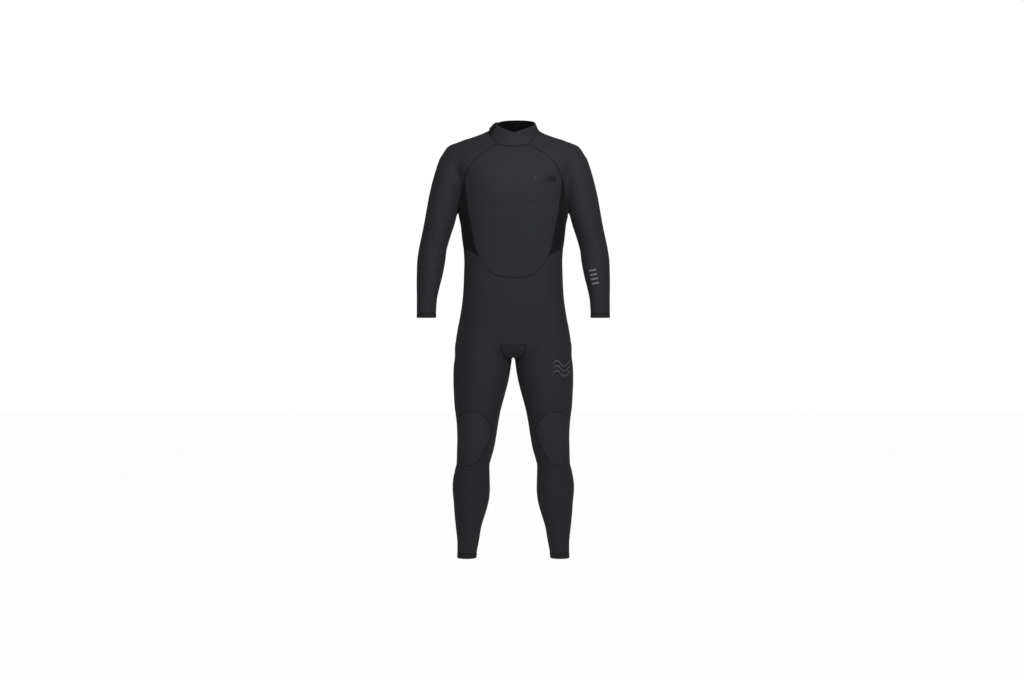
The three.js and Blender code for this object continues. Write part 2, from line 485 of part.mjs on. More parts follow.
solid("zip_stop_top", block(5, stopY, stopY + 1.5, ZIP_TOP - 1 - STOP_L, ZIP_TOP - 1), "metal");
solid("zip_stop_bottom", block(5, stopY, stopY + 1.5, ZIP_LOW - STOP_L, ZIP_LOW), "metal");
const sliderTop = ZIP_TOP - STOP_L - 2, sliderLow = sliderTop - SLIDER_L;
const plateY = stopY + PLATE_T, bridgeTop = sliderTop - 3, bridgeLow = sliderLow + 3;
const lips = block(SLIDER_W / 2, BACK_Y, stopY, sliderLow, sliderTop)
  .subtract(block(edge, BACK_Y - 1, stopY + 1, sliderLow - 1, sliderTop + 1));
const bridge = block(BRIDGE_W / 2, plateY, plateY + BRIDGE_H, bridgeLow, bridgeTop)
  .subtract(block(BRIDGE_W, plateY, plateY + BRIDGE_H - 1.3, bridgeLow + 1.2, bridgeTop - 1.2));
solid("zip_slider", Manifold.union([block(SLIDER_W / 2, stopY, plateY, sliderLow, sliderTop), lips,
  bridge]), "metal");
const pullY = plateY + 0.5, pullTop = bridgeLow + 1.2 + CLEAR + 1.6;
solid("zip_pull_tab", block(PULL_W / 2, pullY, pullY + PULL_T, pullTop - PULL_L, pullTop)
  .subtract(block(BRIDGE_W / 2 + 0.4, pullY - 1, pullY + 4, pullTop - 8, pullTop - 1.6)), "trim");

export default suit;
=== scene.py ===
# %% [markdown]
# # A wetsuit, sewn from panels
# The suit is drawn the way a pattern cutter thinks of it. First a body form is written as one
# formula, then seams are drawn on the form, and every panel is a grid stretched between its seams.
# Lengths are millimetres until a mesh is made. +Z is up, the front faces -Y, +X is the wearer's left.

import math

import bpy
import numpy as np
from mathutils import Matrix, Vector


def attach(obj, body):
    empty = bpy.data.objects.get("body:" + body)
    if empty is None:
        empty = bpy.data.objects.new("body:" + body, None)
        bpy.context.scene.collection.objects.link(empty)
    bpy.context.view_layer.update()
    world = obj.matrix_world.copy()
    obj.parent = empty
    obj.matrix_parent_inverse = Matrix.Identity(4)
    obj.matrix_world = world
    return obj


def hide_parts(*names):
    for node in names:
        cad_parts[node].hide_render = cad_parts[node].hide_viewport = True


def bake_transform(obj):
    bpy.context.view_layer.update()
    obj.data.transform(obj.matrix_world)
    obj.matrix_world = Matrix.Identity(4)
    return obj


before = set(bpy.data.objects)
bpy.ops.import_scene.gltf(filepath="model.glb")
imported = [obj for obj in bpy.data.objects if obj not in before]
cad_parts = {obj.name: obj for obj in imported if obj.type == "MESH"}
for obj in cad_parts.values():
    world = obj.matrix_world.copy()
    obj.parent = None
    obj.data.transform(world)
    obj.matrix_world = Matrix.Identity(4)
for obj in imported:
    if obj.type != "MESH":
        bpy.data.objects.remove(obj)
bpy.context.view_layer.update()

# %% [markdown]
# ## The body form
# A limb is a stack of level sections. Each row is: height, centre x, centre y, half width,
# depth to the front, depth to the back, roundness (2 is an ellipse, more is squarer).

# %% Section tables
TRUNK = np.insert(np.array([
    [60, 62, 30, 48, 2], [41, 100, 36, 62, 2], [31, 126, 42, 72, 2], [21, 155, 48, 80, 2],
    [11, 184, 55, 88, 2], [0, 206, 64, 93, 2.05], [-10, 214, 72, 96, 2.1], [-25, 220, 82, 96, 2.15],
    [-64, 206, 102, 96, 2.3], [-110, 184, 114, 96, 2.4], [-165, 176, 119, 96, 2.45],
    [-222, 180, 116, 96, 2.5], [-261, 173, 112, 96, 2.5], [-300, 169, 108, 96, 2.5],
    [-340, 163.5, 105, 96, 2.5], [-379, 161, 103, 96, 2.5], [-419, 162, 103, 96, 2.45],
    [-450, 163, 104, 96, 2.4], [-470, 164, 104.5, 97.5, 2.4], [-498, 166, 105, 102, 2.35],
    [-537, 171, 104, 113, 2.3], [-576, 178, 101, 121, 2.3], [-606, 183, 98, 125, 2.3],
    [-640, 187, 93, 126, 2.3], [-675, 190, 86, 121, 2.3], [-712, 190, 76, 108, 2.3]]),
    [1, 1], 0, axis=1)  # the trunk's centre stays at 0, 0
NECK = np.array([
    [100, 12, -4, 56, 62, 62, 2], [84, 12, -4, 58, 63, 64, 2], [71, 9, -4, 65, 64, 68, 2],
    [61, 7.5, -4, 71, 65, 72, 2], [51, 5, -4, 76, 66, 76, 2], [41, 3, -3, 80, 67, 79, 2],
    [20, 0, -2, 82, 68, 78, 2], [0, 0, -2, 80, 68, 70, 2], [-30, 0, 0, 72, 60, 60, 2]])
ARM = np.array([
    [14, 138, 6, 24, 18, 20, 2], [2, 166, 6, 40, 34, 38, 2], [-10, 174, 6, 46, 44, 47, 2],
    [-25, 181, 6, 50, 51, 53, 2], [-44, 188, 6, 55, 57, 58, 2], [-103, 207, 5, 55, 62, 61, 2.05],
    [-163, 223, 3, 53.5, 62, 60, 2.1], [-222, 235.5, 0, 51.5, 60, 58, 2.1],
    [-261, 244, -2, 50, 57, 56, 2.1], [-300, 254.5, -4, 47.5, 53, 53, 2.1],
    [-340, 264, -7, 46, 50, 51, 2.1], [-379, 269, -12, 46, 49, 49, 2.1],
    [-419, 273, -19, 43, 47, 46, 2.1], [-458, 277.5, -27, 38.5, 42, 41, 2.1],
    [-498, 281.5, -35, 33.5, 35, 35, 2.1], [-537, 283, -42, 31.8, 30, 30, 2.1],
    [-575, 283, -48, 31.4, 29, 29, 2.1]])
LEG = np.array([
    [-600, 93, 4, 78, 84, 100, 2.1], [-640, 95, 4, 88, 88, 108, 2.1], [-675, 97, 4, 92, 90, 106, 2.1],
    [-698, 98.5, 4, 94, 91, 102, 2.1], [-721, 101.5, 4, 94.3, 91, 98, 2.1],
    [-767, 106, 4, 91, 89, 93, 2.1], [-813, 111, 3, 84.5, 84, 87, 2.1],
    [-859, 115.8, 2, 76.8, 77, 80, 2.1], [-905, 117.5, 0, 69, 71, 73, 2.1],
    [-951, 119.8, -2, 64.3, 67, 66, 2.1], [-997, 124.5, -1, 60.5, 62, 63, 2.1],
    [-1043, 132, 3, 55, 56, 64, 2.1], [-1066, 135.2, 5, 57.3, 55, 68, 2.1],
    [-1100, 138, 8, 60.8, 55, 74, 2.1], [-1135, 138.3, 10, 61.3, 55, 76, 2.1],
    [-1170, 138.8, 11, 57.5, 54, 72, 2.1], [-1204, 142.2, 11, 51.8, 52, 65, 2.1],
    [-1250, 147, 10, 42.5, 48, 56, 2.1], [-1296, 148.5, 8, 36, 44, 49, 2.1],
    [-1330, 151.5, 6, 32.6, 42, 46, 2.1], [-1360, 153, 5, 31.5, 42, 46, 2.1]])
TRUNK_END = -694
THICK, PAD_RISE, GAP = 3.0, 1.2, 0.2  # of the cloth, of a knee pad's print, beside each seam
ANKLE_Z, CUFF_H, WRIST_Z, WRIST_H = -1352, 16, -565, 14
KNEE_TOP, KNEE_LOW, ELBOW_TOP, ELBOW_LOW = -874, -1043, -277, -407
APEX_Z, HIP_Z = -224, -640
ZIP_TOP, ZIP_HALF, TEETH_HALF, BACK_Y = -12, 11, 2.6, 96
WAIST_FRONT_Z, WAIST_BACK_Z = -436, -446
FINE = 3  # seam steps per pattern step
FINER = 2  # grid steps per seam step
print("sections of trunk, neck, arm, leg:", len(TRUNK), len(NECK), len(ARM), len(LEG))


# %% [markdown]
# The surface is where a distance formula is zero, so limbs merge with a fillet by mixing two
# distances, which drawn sections can't do.

# %% The form as a formula
ARM_FILLET_Z, ARM_FILLET = (-220, -120), (7, 16)  # tight in the armpit, wide over the shoulder
NECK_FILLET, CROTCH_FILLET, LEG_FILLET, TRUNK_FILLET = 18, 8, 16, 44
NECK_FROM, ARM_FROM, LEG_FROM = -90, -640, -560  # the levels past which a limb can matter


def section(table, z):
    """The section at each height: a cubic through the rows whose slope at a row is the slope
    between that row's two neighbours, so the outline has no corners."""
    heights = table[:, 0]
    slopes = np.empty_like(table)
    slopes[1:-1] = (table[2:] - table[:-2]) / (heights[2:] - heights[:-2])[:, None]
    slopes[0] = (table[1] - table[0]) / (heights[1] - heights[0])
    slopes[-1] = (table[-1] - table[-2]) / (heights[-1] - heights[-2])
    i = np.clip(np.searchsorted(-heights, -z, side="left") - 1, 0, len(table) - 2)
    p, q = table[i], table[i + 1]
    h = (q[:, 0] - p[:, 0])[:, None]
    t = np.clip((z[:, None] - p[:, :1]) / h, 0, 1)
    m0, m1, d = slopes[i] * h, slopes[i + 1] * h, q - p
    return p + m0 * t + (3 * d - 2 * m0 - m1) * t**2 + (m0 + m1 - 2 * d) * t**3


def limb(table, x, y, z):
    """About how far a point is from the limb's wall, negative inside. r is 1 on the wall:
    r to the power n is |across / half width|^n + |along / depth|^n, and (r - 1) divided by how
    steeply r grows is a length."""
    s = section(table, z)
    cx, cy, a, n = s[:, 1], s[:, 2], s[:, 3], s[:, 6]
    b = np.where(y < cy, s[:, 4], s[:, 5])
    u, v = abs(x - cx) / a + 1e-6, abs(y - cy) / b + 1e-6
    r = (u**n + v**n) ** (1 / n)
    steep = np.hypot(u ** (n - 1) / a, v ** (n - 1) / b) / r ** (n - 1)
    return np.maximum((r - 1) / steep, np.maximum(z - table[0, 0], table[-1, 0] - z))


def merge(a, b, k):
    """Joins two forms with a fillet: where their distances differ by less than k, the smaller
    is lowered by a quarter of k times the square of how near they are to equal."""
    h = np.maximum(0, 1 - abs(a - b) / k)
    return np.minimum(a, b) - h * h * k / 4


def field(p):
    """The whole body: trunk, neck, both arms and both legs merged."""
    x, y, z = p.T
    f = -merge(-limb(TRUNK, x, y, z), z - TRUNK_END, TRUNK_FILLET)
    m = z > NECK_FROM
    f[m] = merge(f[m], limb(NECK, x[m], y[m], z[m]), NECK_FILLET)
    m = z > ARM_FROM
    fillet = np.interp(z[m], ARM_FILLET_Z, ARM_FILLET)
    f[m] = merge(f[m], limb(ARM, abs(x[m]), y[m], z[m]), fillet)
    m = z < LEG_FROM
    legs = merge(limb(LEG, x[m], y[m], z[m]), limb(LEG, -x[m], y[m], z[m]), CROTCH_FILLET)
    f[m] = merge(f[m], legs, LEG_FILLET)
    return f


def gradient(p):
    """How the form's distance grows along x, y and z, from small steps each way."""
    step = 0.4
    return np.stack([(field(p + e) - field(p - e)) / (2 * step) for e in step * np.eye(3)], axis=1)


def settle(p, free=(1, 1, 1), times=30):
    """Pulls points onto the form: each step goes down the slope by the distance left, at most
    5 mm, moving only along the free axes."""
    p = np.array(p, float).reshape(-1, 3)
    for _ in range(times):
        f, g = field(p), gradient(p) * np.array(free)
        gg = (g**2).sum(1) + 1e-4
        step = np.minimum(1, 5 * np.sqrt(gg) / (abs(f) + 1e-9))
        p = p - (step * f / gg)[:, None] * g
        if abs(f).max() < 1e-4:
            break
    return p


def normals(p):
    """The way out of the form: the gradient, one unit long."""
    g = gradient(p)
    return g / (np.linalg.norm(g, axis=1, keepdims=True) + 1e-9)


# %% [markdown]
# Seams start from a few points, given as x and height on the front or back, or as an angle
# round a limb. A search from outside finds the surface there.

# %% Points on the form
def facing(x, z, way):
    """The front (way -1) or back (way 1) of the form at x and z, found from outside inwards."""
    y = np.arange(190, 0, -3.0)
    f = field(np.stack([np.full_like(y, x), way * y, np.full_like(y, z)], axis=1))
    hit = np.nonzero(f <= 0)[0]
    if not len(hit):
        return settle([x, 0, z])[0]
    return settle([x, way * (y[hit[0]] + 1.5), z], (0, 1, 0))[0]


def front(x, z):
    return facing(x, z, -1)


def back(x, z):
    return facing(x, z, 1)


def free(x, y, z):
    """The form's point nearest to x, y, z."""
    return settle([x, y, z])[0]


def around_limb(table, side, degrees, z):
    """A point at an angle round a limb: 0 is the front, 90 the outer side, 180 the back."""
    s, t = section(table, np.array([float(z)]))[0], math.radians(degrees)
    y = s[2] - math.cos(t) * (s[4] if math.cos(t) > 0 else s[5])
    return settle([side * (s[1] + s[3] * math.sin(t)), y, z], (1, 1, 0))[0]


# %% [markdown]
# ## Seams
# A seam is a smooth curve through a few points of the form, cut into equal steps and pulled onto
# the form. Two panels that share a seam share its points, so they always meet.

# %% Seam curves
def smooth_curve(points, n=40):
    """A cubic through the points in which each stretch is weighted by the square root of its
    length, so that the curve never loops."""
    P = np.array(points, float)
    P = np.vstack([2 * P[0] - P[1], P, 2 * P[-1] - P[-2]])
    steps = np.sqrt(np.linalg.norm(np.diff(P, axis=0), axis=1)) + 1e-6
    knots = np.concatenate([[0], np.cumsum(steps)])
    out = []
    for i in range(1, len(P) - 2):
        t0, t1, t2, t3 = knots[i - 1:i + 3]
        t = np.linspace(t1, t2, n, endpoint=False)[:, None]
        a1 = (t1 - t) / (t1 - t0) * P[i - 1] + (t - t0) / (t1 - t0) * P[i]
        a2 = (t2 - t) / (t2 - t1) * P[i] + (t - t1) / (t2 - t1) * P[i + 1]
        a3 = (t3 - t) / (t3 - t2) * P[i + 1] + (t - t2) / (t3 - t2) * P[i + 2]
        b1 = (t2 - t) / (t2 - t0) * a1 + (t - t0) / (t2 - t0) * a2
        b2 = (t3 - t) / (t3 - t1) * a2 + (t - t1) / (t3 - t1) * a3
        out.append((t2 - t) / (t2 - t1) * b1 + (t - t1) / (t2 - t1) * b2)
    return np.vstack([*out, P[-2:-1]])


def seam(points, count, level=None):
    """The curve cut into count times FINE equal steps, each pulled onto the form. A seam with a
    level keeps that height."""
    curve = smooth_curve(points)
    length = np.concatenate([[0], np.cumsum(np.linalg.norm(np.diff(curve, axis=0), axis=1))])
    at = np.linspace(0, length[-1], count * FINE + 1)
    p = np.stack([np.interp(at, length, curve[:, k]) for k in range(3)], axis=1)
    if level is None:
        q = settle(p)
    else:
        p[:, 2] = level
        q = settle(p, (1, 1, 0))
    q[0], q[-1] = points[0], points[-1]
    return q


def join(*parts):
    """Seams end to end, each shared point kept once."""
    return np.vstack([parts[0]] + [s[1:] for s in parts[1:]])


def turned(s):
    return s[::-1]


def fill(left, right, rows):
    """Fills the space between four seams. Each point is the row seams' mix plus the side seams'
    mix minus the corners' mix, so the grid fits all four, and is then pulled onto the form."""
    grid = np.zeros((len(left), len(rows[0][1]), 3))
    for at, row in rows:
        grid[at * FINE] = row
    for (i0, top), (i1, low) in zip(rows, rows[1:]):
        i0, i1 = i0 * FINE, i1 * FINE
        v = np.linspace(0, 1, i1 - i0 + 1)[1:-1, None, None]
        u = np.linspace(0, 1, len(top))[None, :, None]
        l, r = left[i0 + 1:i1, None], right[i0 + 1:i1, None]
        across_top, across_low = top[0] + (top[-1] - top[0]) * u, low[0] + (low[-1] - low[0]) * u
        corners = across_top * (1 - v) + across_low * v
        guess = top[None] * (1 - v) + low[None] * v + l + (r - l) * u - corners
        inner = settle(guess[:, 1:-1]).reshape(guess[:, 1:-1].shape)
        grid[i0 + 1:i1] = np.concatenate([l, inner, r], axis=1)
    return grid


# %% [markdown]
# ## The seams of one half
# Side 1 is the wearer's left and -1 the right; every x below is measured from the middle.

# %% All seams of one half
def half(side):
    F, B = lambda x, z: front(side * x, z), lambda x, z: back(side * x, z)
    P = lambda x, y, z: free(side * x, y, z)
    arm = lambda a, z: around_limb(ARM, side, a, z)
    leg = lambda a, z: around_limb(LEG, side, a, z)
    s = {"arm": ARM, "leg": LEG, "side": side}
    neck_front, neck_back, neck_zip = F(52, 0), P(48, 66, 46), P(ZIP_HALF, 74, 44)
    waist_zip = B(ZIP_HALF, WAIST_BACK_Z)
    front_pit, back_pit = F(158, -110), B(158, -110)
    apex, tip, back_tip, flank = P(182, 2, APEX_Z), F(113, -366), B(113, -366), P(165, 0, -334)
    s["neck_front"], s["neck_zip"] = neck_front, neck_zip
    s["raglan_front"] = seam([neck_front, F(87, -23), F(112, -41), F(133, -62), F(147, -85), front_pit], 6)
    s["raglan_back"] = seam([neck_back, B(84, 14), B(112, -16), B(135, -52), back_pit], 6)
    s["neck_side"] = seam([neck_front, P(66, -42, 20), P(83, -4, 47), P(72, 40, 50), neck_back], 12)
    s["neck_back"] = seam([neck_back, P(30, 72, 45), neck_zip], 5)
    s["side_front"] = seam([front_pit, F(156, -150), F(150, -200), F(136, -276), F(125, -332), tip], 8)
    s["side_back"] = seam([back_pit, B(154, -150), B(148, -200), B(134, -276), B(124, -332), back_tip], 8)
    s["zip_edge"] = seam([neck_zip] + [B(ZIP_HALF, z) for z in (20, 0, -30, -220, -400)] + [waist_zip], 14)
    s["waist_back"] = seam([back_tip, B(68, -424), B(40, -438), waist_zip], 5)
    hip_out, gusset_front, gusset_back = P(187, 4, HIP_Z), F(42, -653), B(42, -646)
    inseam = P(13, 4, -716)
    s["outer"] = seam([flank, P(162, 2, -400), P(168, 4, -520), hip_out], 8)
    s["hip_front"] = seam([hip_out, F(150, -644), F(100, -650), gusset_front], 6)
    s["hip_back"] = seam([hip_out, B(150, -641), B(100, -644), gusset_back], 6)
    for way, at, pit, end, gusset in (("front", F, front_pit, tip, gusset_front),
                                      ("back", B, back_pit, back_tip, gusset_back)):
        s["pit_" + way] = seam([pit, at(168, -150), at(177, -182), apex], 3)
        s["flank_" + way] = seam([end, at(138, -349), flank], 3)
        s["gusset_" + way] = seam([gusset, at(30, -690), inseam], 3)
    s["centre_back"] = seam([B(0, WAIST_BACK_Z), B(0, -520), B(0, -646)], 8)
    knee_out, knee_in = leg(90, KNEE_TOP), leg(-90, KNEE_TOP)
    s["thigh_out"] = seam([hip_out, leg(90, -720), leg(90, -800), knee_out], 8)
    s["thigh_in"] = seam([inseam, leg(-90, -780), knee_in], 5)

    def ring_at(x, z):  # the front of the leg at a distance from the middle, at this level
        row = section(LEG, np.array([float(z)]))[0]
        return leg(math.degrees(math.asin(np.clip((x - row[1]) / row[3], -1, 1))), z)

    behind = (130, 155, 180, 205, 230)
    for key, z, xs, dz in (("top", KNEE_TOP, (167, 152, 122, 101, 70), (-9, 3, 4, -6, -3)),
                           ("low", KNEE_LOW, (165, 153, 133, 118, 96), (8, -3, -3, 7, 3))):
        out, inn = leg(90, z), leg(-90, z)
        outer, left_of, right_of, inner, last = (ring_at(x, z + d) for x, d in zip(xs, dz))
        s[key + "_a"] = seam([out, outer], 1)
        s[key + "_b"] = seam([outer, left_of, right_of, inner], 3)
        s[key + "_c"] = seam([inner, last, inn], 2)
        s[key + "_d"] = seam([out, *(leg(a, z) for a in behind), inn], 6, z)
    s["pad_out"] = seam([s["top_b"][0], ring_at(177, -912), ring_at(179, -960), ring_at(174, -1007),
                         s["low_b"][0]], 6)
    s["pad_in"] = seam([s["top_b"][-1], ring_at(84, -898), ring_at(72, -926), ring_at(74, -950),
                        ring_at(88, -982), ring_at(103, -1011), s["low_b"][-1]], 6)
    cuff = ANKLE_Z + CUFF_H
    for key, a, top in (("shin_out", 90, s["low_a"][0]), ("shin_in", -90, s["low_c"][-1])):
        s[key] = seam([top, leg(a, -1110), leg(a, -1200), leg(a, cuff)], 7)
    s["elbow_top"], s["ankle"] = ring(ARM, side, ELBOW_TOP), ring(LEG, side, cuff)
    s["underarm"] = seam([apex, arm(-90, -240), s["elbow_top"][0]], 4)
    over_arm = [F(190, -104), F(225, -96), arm(90, -86), B(225, -96), B(190, -104)]
    s["deltoid"] = seam([front_pit, *over_arm, back_pit], 12)
    s["arm_ring"] = np.vstack([apex, ring(ARM, side, APEX_Z - 6)[1:], apex])
    return s


def ring(table, side, z):
    """A level ring of 12 times FINE points round a limb, from its inner side by the front."""
    s = section(table, np.array([float(z)]))[0]
    t = np.radians(-90 + np.arange(12 * FINE) * 360 / (12 * FINE))
    y = s[2] - np.cos(t) * np.where(np.cos(t) > 0, s[4], s[5])
    points = np.stack([side * (s[1] + s[3] * np.sin(t)), y, np.full_like(t, z)], axis=1)
    return settle(points, (1, 1, 0))


L, R = half(1), half(-1)
SIDES = (("left", L), ("right", R))
print("seams of one half:", sorted(k for k, v in L.items() if isinstance(v, np.ndarray)))

# %% [markdown]
# ## Soft shape
# Neoprene keeps a smooth skin, so its relief is a few broad mounds (muscle) and shallow folds
# where it bunches: under the arm, at the elbow, the crotch, behind the knee and over the hip.

# %% Mounds and folds
# x, z, way (front -1, back 1), half width, half height, rise
MOUNDS = np.array([
    [74, -142, -1, 62, 46, 3.4], [74, -205, -1, 66, 15, -2.2], [0, -175, -1, 16, 80, -1.6],
    [0, -300, -1, 14, 90, -0.9], [52, -330, -1, 34, 70, 0.9], [95, -120, 1, 60, 55, 3.0],
    [62, -610, 1, 66, 60, 4.0], [0, -640, 1, 14, 50, -3.0], [112, -780, -1, 52, 90, 1.6],
    [128, -930, -1, 26, 30, 1.8], [112, -965, -1, 16, 50, -1.2], [138, -1120, 1, 40, 60, 1.4],
    [205, -90, -1, 40, 40, 1.2], [0, -690, -1, 26, 22, -1.0]])
# x and z of one end, x and z of the other, way, rise, half width
FOLDS = np.array([
    [166, -112, 196, -74, -1, -2.6, 11], [168, -132, 205, -112, -1, 1.5, 10],
    [172, -160, 214, -150, -1, -1.2, 9], [150, -108, 120, -150, -1, -1.1, 14],
    [226, -332, 270, -342, -1, -1.5, 9], [228, -352, 284, -366, -1, 1.0, 8],
    [226, -372, 272, -392, -1, -1.1, 9], [232, -300, 262, -312, -1, 0.8, 8],
    [236, -452, 268, -470, -1, -0.7, 8], [8, -676, 62, -634, -1, -2.0, 8],
    [14, -704, 78, -668, -1, -1.5, 9], [22, -735, 92, -706, -1, -1.2, 10],
    [30, -656, 110, -600, -1, 1.0, 12], [150, -585, 186, -560, -1, -0.9, 14],
    [70, -1050, 150, -1062, -1, -1.0, 8], [90, -862, 160, -860, -1, -1.3, 7],
    [60, -1000, 100, -1038, -1, -1.0, 9], [100, -520, 158, -500, -1, -0.7, 16],
    [110, -1300, 180, -1306, -1, -0.7, 7], [118, -1270, 178, -1262, -1, 0.6, 9],
    [166, -112, 190, -80, 1, -2.4, 11], [150, -120, 100, -180, 1, -1.2, 16],
    [20, -395, 140, -380, 1, -1.6, 11], [20, -425, 130, -440, 1, 1.2, 10],
    [30, -365, 120, -345, 1, -1.1, 12], [24, -665, 150, -690, 1, -2.0, 9],
    [30, -705, 140, -725, 1, 1.2, 9], [60, -925, 170, -935, 1, -2.0, 9],
    [62, -955, 172, -960, 1, -2.6, 9], [66, -985, 168, -990, 1, -2.0, 9],
    [60, -940, 172, -947, 1, 1.3, 7], [64, -970, 170, -975, 1, 1.3, 7],
    [222, -318, 300, -328, 1, 1.1, 9], [222, -345, 300, -352, 1, -1.4, 9],
    [226, -372, 300, -380, 1, 1.0, 9]])


def relief(p):
    """How far the skin stands off the form: mounds fall off as a bell in width and height, and
    folds as a bell across their line, fading to nothing at both ends. Each counts on its own
    side of the body only."""
    x, y, z = abs(p[:, 0]), p[:, 1], p[:, 2]
    cy = np.where(x > 200, -10.0, 0.0)
    out = np.zeros(len(p))
    for mx, mz, way, w, h, rise in MOUNDS:
        near = 1 / (1 + np.exp(-way * (y - cy) / 12))
        out += rise * near * np.exp(-((x - mx) / w) ** 2 - ((z - mz) / h) ** 2)
    for x0, z0, x1, z1, way, rise, w in FOLDS:
        near = 1 / (1 + np.exp(-way * (y - cy) / 10))
        dx, dz = x1 - x0, z1 - z0
        t = ((x - x0) * dx + (z - z0) * dz) / (dx * dx + dz * dz)
        c = np.clip(t, 0, 1)
        bend = 0.04 * math.hypot(dx, dz) * np.sin(math.pi * c + z0)
        across = ((x - x0) * dz - (z - z0) * dx) / math.hypot(dx, dz) - bend
        past = np.maximum(0, abs(t - 0.5) - 0.5) * math.hypot(dx, dz)
        fade = np.sin(math.pi * np.clip(t, 0.02, 0.98)) ** 0.6
        out += rise * near * fade * np.exp(-((across / w) ** 2) - (past / w) ** 2)
    return out


# %% [markdown]
# ## Panels
# A panel is refined from its pattern grid, given extra rows beside its seams, pulled in a little
# at each seam, and closed into a sheet of real thickness.

# %% From pattern grid to sheet
SEAM_ROWS = [0.14, 0.4]  # extra rows this share of a step from each edge, to carry the groove
GROOVE_REACH = 2.4  # how far from a seam its groove fades out


def finer(grid, times, looped):
    """Cuts every step of the grid into equal parts and pulls the new points onto the form."""
    if looped:
        grid = np.concatenate([grid, grid[:, :1]], axis=1)
    rows, cols = grid.shape[:2]
    at_rows = np.linspace(0, rows - 1, (rows - 1) * times + 1)
    at_cols = np.linspace(0, cols - 1, (cols - 1) * times + 1)
    near = SEAM_ROWS if times > 1 else []
    edge = lambda n: sorted([*near, *(n - 1 - e for e in near)])
    at_rows = np.unique(np.concatenate([at_rows, edge(rows)]))
    if not looped:
        at_cols = np.unique(np.concatenate([at_cols, edge(cols)]))

    def stretch(g, at):
        i = np.minimum(at.astype(int), len(g) - 2)
        t = (at - i).reshape(-1, 1, 1)
        return g[i] * (1 - t) + g[i + 1] * t

    g = stretch(grid, at_rows)
    g = stretch(g.transpose(1, 0, 2), at_cols).transpose(1, 0, 2)
    g = settle(g, times=4).reshape(g.shape)
    return g[:, :-1] if looped else g


def lengths(grid):
    """How far each point is along its row and down its column, on the surface."""
    across, down = np.zeros(grid.shape[:2]), np.zeros(grid.shape[:2])
    across[:, 1:] = np.cumsum(np.linalg.norm(np.diff(grid, axis=1), axis=2), axis=1)
    down[1:] = np.cumsum(np.linalg.norm(np.diff(grid, axis=0), axis=2), axis=0)
    return across, down


def seam_distance(grid, looped, sides="tblr"):
    """How far each point is from the nearest seam among top, bottom, left and right."""
    across, down = lengths(grid)
    d = [np.full(across.shape, 1e3)]
    d += [down] * ("t" in sides) + [down[-1] - down] * ("b" in sides)
    if not looped:
        d += [across] * ("l" in sides) + [across[:, -1:] - across] * ("r" in sides)
    return np.minimum.reduce(d)


def drawn_back(grid, n, looped):
    """Moves each edge of the grid inwards along the surface by GAP, square to the seam."""
    out = grid.copy()

    def pull(i, j, along, inward):
        d = np.cross(n[i, j], along)
        d /= np.linalg.norm(d, axis=-1, keepdims=True) + 1e-9
        d *= np.sign((d * inward).sum(-1, keepdims=True))
        out[i, j] += GAP * d

    rows = slice(None)
    ringed = lambda r: np.roll(r, -1, 0) - np.roll(r, 1, 0)
    along = ringed if looped else lambda r: np.gradient(r, axis=0)
    pull(0, rows, along(grid[0]), grid[1] - grid[0])
    pull(-1, rows, along(grid[-1]), grid[-2] - grid[-1])
    if not looped:
        pull(rows, 0, np.gradient(grid[:, 0], axis=0), grid[:, 1] - grid[:, 0])
        pull(rows, -1, np.gradient(grid[:, -1], axis=0), grid[:, -2] - grid[:, -1])
    return out


def sheet_verts(grid, looped, rise, thick, level, groove, lift=None):
    """The outer and inner faces of a panel: the outer stands off the form by its rise and the
    soft relief, dips by the groove beside a seam, and the inner lies one thickness below."""
    flat = grid.reshape(-1, 3)
    n = normals(flat)
    if level:
        n[:, 2] = 0
        n /= np.linalg.norm(n, axis=1, keepdims=True)
    n = n.reshape(grid.shape)
    base = drawn_back(grid, n, looped)
    soft = relief(flat).reshape(grid.shape[:2])
    d = seam_distance(grid, looped)
    off = rise + soft - groove * np.exp(-(d / GROOVE_REACH) ** 2)
    if lift is not None:
        off = off + lift
    outer = base + n * off[..., None]
    inner = base + n * (soft + rise - thick + (0 if lift is None else lift))[..., None]
    return outer, inner


def grid_quads(rows, cols, looped, start=0):
    """The corner numbers of every cell of a grid, row by row."""
    i, j = np.meshgrid(np.arange(rows - 1), np.arange(cols if looped else cols - 1), indexing="ij")
    k = (j + 1) % cols
    q = np.stack([i * cols + j, (i + 1) * cols + j, (i + 1) * cols + k, i * cols + k], axis=-1)
    return q.reshape(-1, 4) + start


def closed_sheet(outer, inner, looped):
    """All cells of both faces and the rim that joins them. The signed volume says whether the
    faces look out, and they are turned if they don't."""
    rows, cols = outer.shape[:2]
    v = np.concatenate([outer.reshape(-1, 3), inner.reshape(-1, 3)])
    n = rows * cols
    a = grid_quads(rows, cols, looped)
    faces = [a, a[:, ::-1] + n]
    j = np.arange(cols if looped else cols - 1)
    k = (j + 1) % cols
    low = (rows - 1) * cols
    faces.append(np.stack([j, k, k + n, j + n], 1))
    faces.append(np.stack([low + j, low + j + n, low + k + n, low + k], 1))
    if not looped:
        i = np.arange(rows - 1)
        p, q, e = i * cols, (i + 1) * cols, cols - 1
        faces.append(np.stack([p, p + n, q + n, q], 1))
        faces.append(np.stack([p + e, q + e, q + e + n, p + e + n], 1))
    count = [len(f) for f in faces]
    f = np.concatenate(faces)
    t = v[f]
    volume = (t[:, 0] * (np.cross(t[:, 1], t[:, 2]) + np.cross(t[:, 2], t[:, 3]))).sum()
    return v, (f[:, ::-1] if volume < 0 else f), count


# %% [markdown]
# One helper makes every piece: mesh, material, body, and the solid it stands for.

# %% One node, made and placed
SHARP = math.radians(38)  # edges that turn by more than this stay crisp


